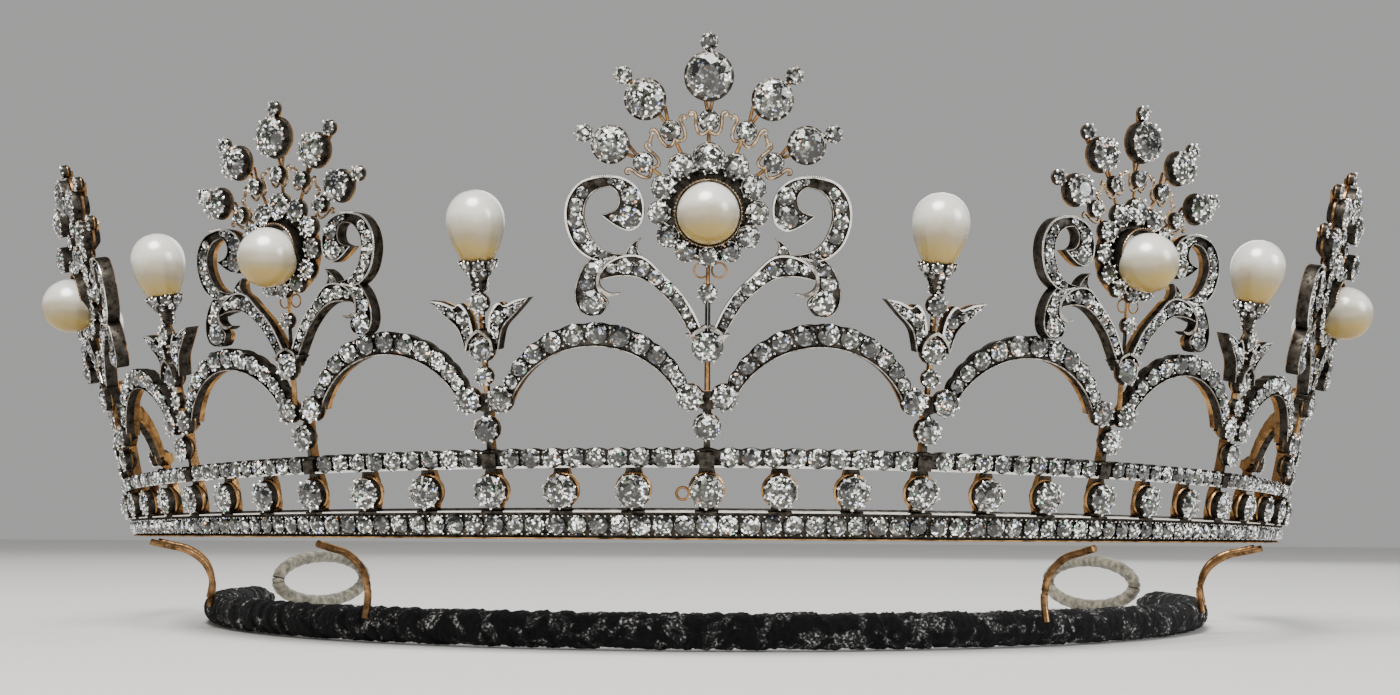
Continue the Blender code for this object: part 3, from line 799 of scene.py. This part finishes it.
def smoothed(path, pieces):
    """A smooth line in even pieces through points of two or more values each."""
    spots = []
    for i in range(len(path) - 1):
        p0, p1 = path[max(i - 1, 0)], path[i]
        p2, p3 = path[i + 1], path[min(i + 2, len(path) - 1)]
        for j in range(8):
            t = j / 8
            spots.append(tuple(
                0.5 * (2 * b + (c - a) * t + (2 * a - 5 * b + 4 * c - d) * t * t
                       + (3 * b - a - 3 * c + d) * t ** 3)
                for a, b, c, d in zip(p0, p1, p2, p3)
            ))
    spots.append(tuple(path[-1]))
    lengths = lengths_along(spots)
    return [point_at(spots, lengths, lengths[-1] * i / pieces)[1] for i in range(pieces + 1)]


def mirrored(path, side):
    return [(side * u, *rest) for u, *rest in path]


def wire(metalwork, at, path, thickness, finish=GOLD, out=0.0):
    """A round wire along points of (u, v)."""
    ahead = Vector((0.0, -1.0, 0.0))
    rows = []
    for i, (u, v) in enumerate(path):
        along = heading_at(path, i)
        aside = Vector((-along.y, 0.0, along.x))
        ground = shifted(at(u, v), out=out)
        row = []
        for k in range(WIRE_SIDES):
            turn = math.tau * k / WIRE_SIDES
            around = aside * math.cos(turn) + ahead * math.sin(turn)
            row.append(ground @ (around * (thickness / 2 * MM)))
        rows.append(row)
    metalwork.add(*skin(rows), finish)


def leaf(metalwork, stones, at, side, part, rims=(0.12, 0.12), shine=(EDGE, EDGE)):
    """A sunk channel between a part's two outlines, with its stones, and grains where two of them meet."""
    left, right, settings = (mirrored(path, side) for path in part)
    plate(metalwork, smoothed(left, 26), smoothed(right, 26), channel(-0.85, 0.85, 0.35, rims, shine), at)
    for u, v, radius in settings:
        set_stone(stones, shifted(at(u, v), out=0.78), radius)
    for (u, v, radius), (next_u, next_v, next_radius) in zip(settings, settings[1:]):
        along = Vector((next_u - u, next_v - v))
        if along.length > radius + next_radius + 0.6:
            continue
        middle = Vector((u, v)) + along * (radius / (radius + next_radius))
        across = Vector((-along.y, along.x)).normalized()
        for hand in (1, -1):
            spot = middle + across * hand * 0.62 * min(radius, next_radius)
            add_bead(metalwork, at(spot.x, spot.y), 0.82, 0.14)


def rim_wire(metalwork, at, side, path, out=0.85):
    """A narrow upright strip along (u, v, width) whose bright edge faces the front."""
    ribbon(metalwork, smoothed(mirrored(path, side), 20), bar(-0.6, out, DARK, EDGE), at)


def bead_row(metalwork, at, side, first, last, count, radius=0.16, out=0.92):
    """Milgrain: a row of tiny beads along an edge."""
    for i in range(count):
        share = i / (count - 1)
        u, v = (a + (b - a) * share for a, b in zip(first, last))
        add_bead(metalwork, at(side * u, v), out, radius)


def fan(metalwork, stones, at):
    """The palmette's foot: a round stone in a folded leaf with sharp bright corners, on a gold stem."""
    wire(metalwork, at, [(0.0, 16.5), (0.0, 20.4)], 0.62)
    for side in (1, -1):
        wire(metalwork, at, [(side * 0.16, 22.4), (side * 0.16, 26.2)], 0.24, DARK, 0.1)
        rim_wire(metalwork, at, side, [(0.9, 21.7, 1.1), (1.6, 22.3, 0.6), (2.35, 22.6, 0.06)], 1.15)
        rim_wire(metalwork, at, side, [(1.75, 21.9, 0.2), (1.3, 22.9, 0.26), (0.1, 23.5, 0.3)], 1.25)
        ring(metalwork, at(side * 0.95 + 0.25, 29.4), 0.80, 0.2)
    wire(metalwork, at, [(0.0, 27.6), (0.0, 31.0)], 0.42)
    collet(metalwork, stones, at(0.0, 21.25), 1.55, 8, 1.3, 1.1)
    collet(metalwork, stones, at(0.0, 27.0), 0.92, 8, 1.2, 0.7, grip=1.3)


def halo(metalwork, stones, at):
    """Twelve stones that shrink from top to foot round the pearl's bezel with its fine beaded edge."""
    for i in range(12):
        turn = math.tau * i / 12
        reach = 5.15 + 0.55 * math.cos(turn)
        spot = at(reach * math.sin(turn), HALO_V + reach * math.cos(turn))
        collet(metalwork, stones, spot, HALO_STONES[min(i, 12 - i)], 9, 1.35, 0.95)
    centre = at(0.0, HALO_V)
    # the plate's front and the bezel's walls are dark oxidised silver that is also painted shade; the bezel's
    # lip and beads are pale gold that is also a painted highlight
    turned(metalwork, centre, HALO_PLATE, [GOLD, GOLD, DARK, DARK], 36)
    turned(metalwork, centre, BEZEL, [GOLD, DARK, PALE, DARK, DARK, DARK], 44)
    for i in range(BEZEL_BEADS):
        turn = math.tau * i / BEZEL_BEADS
        spot = at(BEZEL_BEAD_RADIUS * math.sin(turn), HALO_V + BEZEL_BEAD_RADIUS * math.cos(turn))
        add_bead(metalwork, spot, BEZEL_BEAD_OUT, 0.11, PALE)


def ray(metalwork, stones, at, small, large, tip):
    """Three stones on wires that leave the halo, the smallest in a lyre of pale gold wire."""
    centre = Vector((0.0, HALO_V))
    foot, head, end = (Vector(stone[:2]) for stone in (small, large, tip))
    outward = (foot - centre).normalized()
    across = Vector((outward.y, -outward.x))

    def from_small(aside, ahead):
        spot = foot + across * aside + outward * ahead
        return spot.x, spot.y

    wire(metalwork, at, [tuple(centre + outward * 5.3), from_small(0.0, -0.9)], 0.4, out=-0.1)
    wire(metalwork, at, [tuple(head), tuple(end)], 0.7, out=-0.2)
    collet(metalwork, stones, at(*foot), small[2], 8, 1.2, 0.95, cup=0.14, grip=0.8)
    collet(metalwork, stones, at(*head), large[2], 13, 2.2, 1.6, sides=24, cup=0.12)
    collet(metalwork, stones, at(*end), tip[2], 7, 1.0, 0.8, grip=1.2)
    to_tip = (end - head).normalized()
    for hand in (1, -1):
        curl = smoothed([from_small(hand * aside, ahead) for aside, ahead in LYRE], 26)
        # pale gold wire that is also a painted highlight
        wire(metalwork, at, curl, LYRE_WIRE, PALE, LYRE_OUT)
        prong_end = from_small(hand * 0.5, (head - foot).length - large[2] * 0.85)
        wire(metalwork, at, [from_small(hand * 0.12, 0.9), prong_end], 0.36, out=-0.1)
        joint = head + to_tip * (large[2] + 0.12) + Vector((-to_tip.y, to_tip.x)) * hand * 0.28
        add_bead(metalwork, at(*joint), 1.5, 0.2)
    return from_small(1.85, 0.65), from_small(-1.85, 0.65)


def palmette(step):
    """The metal and stones of one palmette, without its pearl."""
    metalwork, stones = Work(), Work()
    at = palmette_ground(step)
    fan(metalwork, stones, at)
    for side in (1, -1):
        leaf(metalwork, stones, at, side, LOWER_MAIN, (0.24, 0.14), (BRIGHT, EDGE))
        leaf(metalwork, stones, at, side, UPPER_MAIN, (0.14, 0.26), (EDGE, BRIGHT))
        leaf(metalwork, stones, at, side, UPPER_CURL, (0.22, 0.12), (BRIGHT, EDGE))
        leaf(metalwork, stones, at, side, LOWER_OUTER)
        leaf(metalwork, stones, at, side, BUD)
        rim_wire(metalwork, at, side, SCROLL_TIP)
        bead_row(metalwork, at, side, (9.75, 30.85), (11.0, 30.55), 6)
        bead_row(metalwork, at, side, (12.2, 39.3), (10.3, 39.45), 9)
    halo(metalwork, stones, at)
    rays = [TOP_RAY]
    for spots in (UPPER_RAY, LOWER_RAY):
        rays += [spots, mirrored(spots, -1)]
    rays.sort(key=lambda spots: spots[0][0])
    ends = [ray(metalwork, stones, at, *spots) for spots in rays]
    for (right_end, _), (_, left_end) in zip(ends, ends[1:]):
        # pale gold wire that is also a painted highlight
        wire(metalwork, at, [right_end, left_end], LYRE_WIRE, PALE, LYRE_OUT)
        for u, v in (right_end, left_end):
            add_bead(metalwork, at(u, v), 0.5, 0.24)

    name = side_name(step)
    ray_places = ("top", "upper_left", "upper_right", "lower_left", "lower_right")
    large_stones = [f"stone_{name}_{place}" for place in ray_places]
    finished(f"palmette_{name}_metal", metalwork, METALS, [f"palmette_{name}"])
    finished(f"palmette_{name}_diamonds", stones, [cut_diamond], large_stones, sharp_degrees=0)


for step in PALMETTE_BAYS:
    palmette(step)


# Finials
# Six finials stand where no palmette does: two folded leaves of graduated stones round a deep-set diamond,
# and above them a cap of small petals that narrows to the stem and holds a drop pearl.
FINIAL_BAYS = (-5, -3, -1, 1, 3, 5)
FINIAL_SCALE = {1: 1.0, 3: 1.04, 5: 1.0}
DROP_FOOT_V = 30.75
FINIAL_LEAF = (
    [(1.4, 21.2), (0.85, 22.6), (1.0, 24.3), (1.5, 25.7), (2.3, 26.45), (2.85, 26.0), (4.3, 26.6),
     (5.9, 26.8)],
    [(2.0, 21.2), (2.25, 22.3), (2.6, 23.4), (3.1, 24.1), (3.7, 24.65), (4.3, 25.2), (5.0, 25.9),
     (5.9, 26.8)],
    [(5.1, 26.25, 0.26), (4.4, 25.9, 0.40), (3.4, 25.3, 0.56), (2.0, 24.7, 0.82), (1.65, 23.2, 0.56),
     (1.75, 22.2, 0.32)],
)
LEAF_FOLD = [(1.6, 21.2, 0.12), (1.35, 22.2, 0.26), (0.7, 23.0, 0.3), (0.0, 23.4, 0.34)]
PETALS = 8
CAP = [
    (0.4, -3.2), (0.7, -2.6), (0.85, -1.9), (1.3, -1.1), (1.75, -0.3), (2.0, 0.35), (1.85, 0.4), (1.4, 0.0),
    (0.4, -0.4),
]
COLLAR = [(0.50, 0.0), (0.66, 0.12), (0.66, -0.3), (0.5, -0.3)]


def round_the_cap(foot, turn, flare=0.0):
    """A frame on the side of the cap, this far round it and flared by so many degrees."""
    return foot @ Matrix.Rotation(turn, 4, "Z") @ Matrix.Rotation(math.radians(flare), 4, "X")


def pearl_cap(metalwork, stones, foot):
    """A cup of dark petals, each with a round stone, that narrows to a beaded stem."""
    upright = foot @ Matrix.Rotation(-math.pi / 2, 4, "X")
    turned(metalwork, upright, CAP, [DARK] * 5 + [BRIGHT] + [DARK] * 3, 20)
    for i in range(PETALS):
        turn = math.tau * (i + 0.5) / PETALS
        petal = round_the_cap(foot, turn, 26.0)
        turned(metalwork, shifted(petal, 0.0, 0.55, 1.72), COLLAR, [EDGE, DARK, DARK, DARK], 10)
        set_stone(stones, shifted(petal, 0.0, 0.55, 1.78), 0.55)
        for aside, height in ((-0.5, 0.95), (0.5, 0.95), (0.0, 1.15)):
            add_bead(metalwork, shifted(petal, aside, height), 1.82, 0.14)
        lower = round_the_cap(foot, turn + math.pi / PETALS, 24.0)
        set_stone(stones, shifted(lower, 0.0, -0.5, 1.68), 0.38)
        add_bead(metalwork, shifted(lower, 0.0, -0.02), 1.75, 0.15)
    for height, size in ((-1.75, 0.3), (-2.35, 0.26), (-2.9, 0.22)):
        for i in range(6):
            spot = shifted(round_the_cap(foot, math.tau * i / 6), 0.0, height)
            add_bead(metalwork, spot, 0.75, size, DARK if i % 2 else BRIGHT)


def finial_ground(step):
    return motif_ground(wall_frame(step * BAY, JUNCTION_V, FINIAL_SCALE[abs(step)]))


def finial(step):
    """The metal and stones under one drop pearl."""
    metalwork, stones = Work(), Work()
    at = finial_ground(step)
    wire(metalwork, at, [(0.0, 16.5), (0.0, 20.2)], 0.72)
    wire(metalwork, at, [(0.0, 22.0), (0.0, 28.6)], 0.72)
    for side in (1, -1):
        leaf(metalwork, stones, at, side, FINIAL_LEAF, (0.30, 0.12), (BRIGHT, EDGE))
        rim_wire(metalwork, at, side, LEAF_FOLD, 1.5)
        bead_row(metalwork, at, side, (0.35, 24.3), (0.35, 25.0), 2, 0.2, 0.5)
    collet(metalwork, stones, at(0.0, 21.3), 1.33, 8, 1.6, 0.95)
    collet(metalwork, stones, at(0.0, 18.3), 0.95, 8, 1.1, 0.75, grip=1.2)
    collet(metalwork, stones, at(0.0, 26.4), 1.08, 8, 1.2, 0.95, grip=1.2)
    pearl_cap(metalwork, stones, at(0.0, DROP_FOOT_V))
    name = side_name(step)
    finished(f"finial_{name}_metal", metalwork, METALS, [f"finial_{name}"])
    finished(f"finial_{name}_diamonds", stones, [cut_diamond], sharp_degrees=0)


for step in FINIAL_BAYS:
    finial(step)


# Pearls
# Five button pearls sit in the halos and six drop pearls stand on the caps. They are natural cream pearls
# with a silky lustre that lies under the surface and faint growth bands. Their colour is painted by height:
# white on top as a painted highlight, a greyer band across the middle and a golden foot as painted
# reflections of the surround and of the gold below.
PEARL_RINGS, PEARL_SIDES = 40, 64
BUTTON_RADIUS, BUTTON_CUT = 3.27, 0.62
DROP_HEIGHT, DROP_RADIUS, DROP_FOOT, DROP_WIDEST = 8.0, 3.16, 0.50, 0.58
POINT_RADIUS = 0.02
# cream nacre by height with painted light: a white top as a painted highlight, a grey band and golden foot as
# painted reflections
PEARL_BODY_AND_PAINTED_LIGHT = [
    (0.10, (0.33, 0.21, 0.045)),
    (0.30, (0.42, 0.30, 0.085)),
    (0.46, (0.35, 0.29, 0.17)),
    (0.60, (0.50, 0.455, 0.35)),
    (0.74, (0.88, 0.86, 0.78)),
    (0.88, (0.93, 0.91, 0.84)),
]


def pearl_material():
    """Cream nacre with painted light by height: white on top as a painted highlight, warm at the foot as a
    painted reflection, and with its coat strongest on top.
    """
    made, tree, shader = new_material("natural_pearl", {
        "Roughness": 0.22,
        "Specular IOR Level": 0.45,
        "Subsurface Weight": 0.12,
        "Subsurface Radius": (0.0016, 0.0011, 0.0008),
        "Subsurface Scale": 1.0,
        "Coat IOR": 2.4,
        "Coat Roughness": 0.25,
    })
    on_pearl = add_node(tree, "TexCoord").outputs["Generated"]
    up_pearl = add_node(tree, "SeparateXYZ", {"Vector": on_pearl}).outputs["Z"]
    height = scaled(tree, noise(tree, 260.0, 3.0), 0.22, up_pearl)
    # the base colour carries the painted highlight and painted reflections by height
    plug(tree, shader, {
        "Base Color": ramp(tree, height, PEARL_BODY_AND_PAINTED_LIGHT),
        "Coat Weight": ramp(tree, height, [(0.35, 0.05), (0.55, 0.3), (0.80, 1.0)]),
        "Normal": bumped(tree, noise(tree, 2200.0), 0.06, 0.00005),
    })
    return made


natural_pearl = pearl_material()


def pearl(name, place, profile, uneven):
    """A pearl turned about the frame's z from profile(share) -> (radius, z), a little uneven as it grew."""
    work = Work()
    lumps = [(chance.uniform(0, math.tau), chance.randint(2, 3), chance.uniform(0.3, 1.0)) for _ in range(3)]
    rows = []
    for i in range(PEARL_RINGS + 1):
        share = i / PEARL_RINGS
        radius, z = profile(share)
        row = []
        for k in range(PEARL_SIDES):
            turn = math.tau * k / PEARL_SIDES
            swell = sum(size * math.cos(waves * turn + phase + 2.0 * share) for phase, waves, size in lumps)
            reach = radius * (1.0 + uneven * swell)
            row.append(place @ (Vector((reach * math.cos(turn), reach * math.sin(turn), z)) * MM))
        rows.append(row)
    work.add(*skin(rows), 0)
    finished(f"{name}_skin", work, [natural_pearl], [name], sharp_degrees=60.0)


def button_profile(share):
    """From the flat back at 0 to the front of the dome at 1, along the way the pearl faces."""
    turn = math.acos(BUTTON_CUT) + (math.pi - math.acos(BUTTON_CUT)) * share
    return max(BUTTON_RADIUS * math.sin(turn), POINT_RADIUS), BUTTON_RADIUS * (BUTTON_CUT - math.cos(turn))


def drop_profile(share):
    """From the foot at 0 to the top at 1: an egg that is widest well above its middle."""
    if share < DROP_WIDEST:
        rise = math.sin(math.pi / 2 * share / DROP_WIDEST)
        return DROP_RADIUS * (DROP_FOOT + (1 - DROP_FOOT) * rise), DROP_HEIGHT * share
    fall = (share - DROP_WIDEST) / (1 - DROP_WIDEST)
    return max(DROP_RADIUS * math.sqrt(max(1.0 - fall ** 2.1, 0.0)), POINT_RADIUS), DROP_HEIGHT * share


for step in PALMETTE_BAYS:
    # the four at the sides are a little larger and sit lower than the one in the middle
    growth, drop = (1.12, 0.7) if step else (1.0, 0.0)
    seat = shifted(palmette_ground(step)(0.0, HALO_V - drop), out=0.8)
    facing = seat @ Matrix.Rotation(math.pi / 2, 4, "X") @ Matrix.Scale(growth, 4)
    pearl(f"button_pearl_{side_name(step)}", facing, button_profile, 0.006)
for step in FINIAL_BAYS:
    pearl(f"drop_pearl_{side_name(step)}", finial_ground(step)(0.0, DROP_FOOT_V), drop_profile, 0.009)


# Velvet frame
# A stiff wire horseshoe wound with a strip of black silk velvet, each turn lapping the one before. The pile
# carries painted glints: in tufts, single threads are painted grey where they would catch the light.
CORE_RADIUS, CORE_HEIGHT = 77.2, 2.2
CORE_END = math.radians(100.0)
VELVET_TURNS, VELVET_ROWS, VELVET_SIDES = 66, 900, 28
TABLE_GAP = 0.02
VELVET_PILE = [(0.40, (0.0015, 0.0015, 0.002)), (0.62, (0.006, 0.006, 0.007)), (0.74, (0.03, 0.03, 0.03))]


def velvet_material():
    """Black pile with painted glints: in tufts, single threads are painted grey."""
    made, tree, shader = new_material("black_silk_velvet", {
        "Roughness": 0.9,
        "Specular IOR Level": 0.2,
        "Sheen Weight": 0.10,
        "Sheen Roughness": 0.4,
        "Sheen Tint": (0.42, 0.42, 0.42, 1.0),
    })
    pile = noise(tree, 1500.0, 6.0, 0.75)
    # painted glints: tufts of pile where single threads are painted grey as light caught on them
    tarnish_and_glint_patches = ramp(tree, noise(tree, 420.0, 3.0, distortion=0.8), [(0.52, 0.0), (0.68, 1.0)])
    glint_threads = ramp(tree, noise(tree, 2900.0, 1.0), [(0.42, 0.02), (0.58, 0.16), (0.68, 1.0)])
    lit = add_node(tree, "Mix", {
        "Factor": scaled(tree, tarnish_and_glint_patches, glint_threads),
        "A": ramp(tree, pile, VELVET_PILE),
        "B": (0.58, 0.58, 0.56, 1.0),
    }, data_type="RGBA")
    plug(tree, shader, {"Base Color": lit.outputs["Result"], "Normal": bumped(tree, pile, 0.9, 0.0003)})
    return made


def velvet_rows():
    """Rings of points round the stiff core, stepped at each lap of the strip and cut flat underneath."""
    rows = []
    for i in range(VELVET_ROWS + 1):
        angle = -CORE_END + 2 * CORE_END * i / VELVET_ROWS
        end = min(1.0, 30 * min(i, VELVET_ROWS - i) / VELVET_ROWS + 0.35)
        row = []
        for k in range(VELVET_SIDES):
            turn = math.tau * k / VELVET_SIDES
            lap = VELVET_TURNS * i / VELVET_ROWS + 0.6 * math.sin(23.0 * angle) + k / VELVET_SIDES
            radius = (1.88 + 0.34 * (lap % 1.0) ** 0.7 + chance.uniform(-0.11, 0.11)) * end
            up = max(radius * math.sin(turn), TABLE_GAP - CORE_HEIGHT)
            row.append(round_the_centre(CORE_RADIUS + radius * math.cos(turn), angle, CORE_HEIGHT + up))
        rows.append(row)
    return rows


velvet = Work()
velvet.add(*skin(velvet_rows()), 0)
finished("velvet_winding", velvet, [velvet_material()], ["velvet_frame"], sharp_degrees=80.0)


# Wires
# Six hooks of gold wire come in from under the circlet and are sewn to the side of the velvet frame. A
# pale loop at each end of the frame takes a ribbon or a hair pin.
HOOK_ANGLES = {"front": 31.0, "side": 60.0, "back": 84.0}
HOOK_PROFILE = [(88.7, -0.9), (86.8, -1.35), (83.8, -2.1), (81.3, -3.9), (80.1, -6.7), (80.4, -9.9)]
HOOK_THICKNESS = 0.9
LOOP_THICKNESS, LOOP_LENGTH, LOOP_HEIGHT = 2.3, 23.3, 8.1
LOOP_GAP = 0.3
LOOP_POINTS = 120
RIBBON_TURNS = 24
SILK_FOLDS = [(0.34, (0.055, 0.048, 0.032)), (0.5, (0.155, 0.14, 0.098)), (0.68, (0.31, 0.285, 0.21))]


def silk_material():
    """Grey-cream silk ribbon with a fine rib and worn, darker folds."""
    made, tree, shader = new_material("cream_silk", {"Roughness": 0.62, "Sheen Weight": 0.4})
    folds = noise(tree, 900.0, 5.0)
    rib = bumped(tree, folds, 0.6, 0.0002)
    plug(tree, shader, {"Base Color": ramp(tree, folds, SILK_FOLDS), "Normal": rib})
    return made


def round_wire(name, path, thickness, material, node, closed=False, sides=10, turns=0):
    """A wire along points in metres, in place of its CAD node, with this many turns of ribbon round it."""
    work = Work()
    count = len(path)
    rows = []
    for i, spot in enumerate(path):
        before = path[(i - 1) % count] if closed else path[max(i - 1, 0)]
        after = path[(i + 1) % count] if closed else path[min(i + 1, count - 1)]
        along = (after - before).normalized()
        aside = along.cross(Vector((0.0, 0.0, 1.0)))
        if aside.length < 0.2:
            aside = along.cross(Vector((1.0, 0.0, 0.0)))
        aside.normalize()
        above = along.cross(aside)
        row = []
        for k in range(sides):
            turn = math.tau * k / sides
            lap = (turns * i / count + k / sides) % 1.0 if turns else 1.0
            radius = (0.88 + 0.12 * lap) * thickness * MM / 2
            row.append(spot + (aside * math.cos(turn) + above * math.sin(turn)) * radius)
        rows.append(row)
    work.add(*skin(rows, closed), 0)
    finished(name, work, [material], [node], sharp_degrees=60.0)


def loop_path(side):
    """An upright oval in line with the end of the velvet frame."""
    along = Vector((-0.45, 0.89, 0.0)).normalized()
    end = Vector((CORE_RADIUS * math.sin(CORE_END), -CORE_RADIUS * math.cos(CORE_END), 0.0))
    middle = end + along * (LOOP_LENGTH / 2 + LOOP_THICKNESS / 2 + LOOP_GAP)
    middle.z = (LOOP_HEIGHT + LOOP_THICKNESS) / 2
    path = []
    for i in range(LOOP_POINTS):
        turn = math.tau * i / LOOP_POINTS
        spot = middle + along * (LOOP_LENGTH / 2 * math.cos(turn))
        spot.z += LOOP_HEIGHT / 2 * math.sin(turn)
        path.append(Vector((side * spot.x * MM, spot.y * MM + CENTRE_Y, spot.z * MM)))
    return path


cream_silk = silk_material()
bronzed_gold = metal("bronzed_gold", (0.40, 0.23, 0.105), (0.045, 0.022, 0.010), 700.0, 1.0, 0.26, 0.3)
for side, hand in ((-1, "left"), (1, "right")):
    for place, degrees in HOOK_ANGLES.items():
        angle = side * math.radians(degrees)
        path = [round_the_centre(radius, angle, FOOT_HEIGHT + z) for radius, z in smoothed(HOOK_PROFILE, 30)]
        name = f"wire_hook_{hand}_{place}"
        round_wire(f"{name}_wire", path, HOOK_THICKNESS, bronzed_gold, name)
    name = f"end_loop_{hand}"
    path = loop_path(side)
    round_wire(f"{name}_ribbon", path, LOOP_THICKNESS, cream_silk, name, True, 14, RIBBON_TURNS)


# Floor, light and camera
# A pale floor and an even pale surround, one broad soft light above the front, a lower one from the right
# and one from behind. The camera stands close in front and low, and looks a little up.
FLOOR_COLOUR = (0.80, 0.79, 0.77)
FLOOR_RADIUS = 4.0
FRAME_WIDTH = 1400.0
LENS_PIXELS = 1526.0
SENSOR_WIDTH = 36.0
CAMERA_DISTANCE = 0.25714
CAMERA_PITCH = math.radians(7.13)
CAMERA_ROLL = math.radians(0.34)


def matte(name, colour, scale):
    """A plain matte colour with faint clouds."""
    made, tree, shader = new_material(name, {"Roughness": 0.85})
    clouds = [(0.3, tuple(0.985 * c for c in colour)), (0.7, colour)]
    plug(tree, shader, {"Base Color": ramp(tree, noise(tree, scale), clouds)})
    return made


shapes = bmesh.new()
bmesh.ops.create_circle(shapes, cap_ends=True, segments=96, radius=FLOOR_RADIUS)
floor_mesh = bpy.data.meshes.new("floor")
shapes.to_mesh(floor_mesh)
shapes.free()
floor = bpy.data.objects.new("floor", floor_mesh)
floor_mesh.materials.append(matte("pale_floor", FLOOR_COLOUR, 3.0))
floor.location.z = -0.0001
bpy.context.collection.objects.link(floor)

world = bpy.data.worlds.new("studio")
bpy.context.scene.world = world
world.use_nodes = True
surround = world.node_tree.nodes["Background"]
plug(world.node_tree, surround, {"Color": (0.93, 0.93, 0.92, 1.0), "Strength": 0.42})


def soft_light(name, spot, target, size, power, colour=(1.0, 1.0, 1.0)):
    data = bpy.data.lights.new(name, "AREA")
    data.shape = "DISK"
    data.size = size
    data.energy = power
    data.color = colour
    light = bpy.data.objects.new(name, data)
    light.location = spot
    light.rotation_euler = (Vector(target) - Vector(spot)).to_track_quat("-Z", "Y").to_euler()
    bpy.context.collection.objects.link(light)


soft_light("key", (-0.12, -0.42, 0.62), (0.0, -0.02, 0.04), 0.45, 8.0, (1.0, 0.98, 0.95))
soft_light("fill", (0.60, -0.35, 0.25), (0.0, 0.0, 0.03), 0.35, 2.5, (0.95, 0.97, 1.0))
soft_light("back", (0.15, 0.65, 0.45), (0.0, 0.0, 0.04), 0.60, 1.6)

camera_data = bpy.data.cameras.new("camera")
camera_data.sensor_width = SENSOR_WIDTH
camera_data.lens = LENS_PIXELS / FRAME_WIDTH * SENSOR_WIDTH
camera_data.clip_start = 0.005
camera_data.shift_x = -7.5 / FRAME_WIDTH
camera = bpy.data.objects.new("camera", camera_data)
camera.location = (0.0, CENTRE_Y - CAMERA_DISTANCE, FOOT_HEIGHT * MM)
turn = Matrix.Rotation(math.pi / 2 + CAMERA_PITCH, 4, "X") @ Matrix.Rotation(CAMERA_ROLL, 4, "Z")
camera.rotation_euler = turn.to_euler()
bpy.context.collection.objects.link(camera)
bpy.context.scene.camera = camera
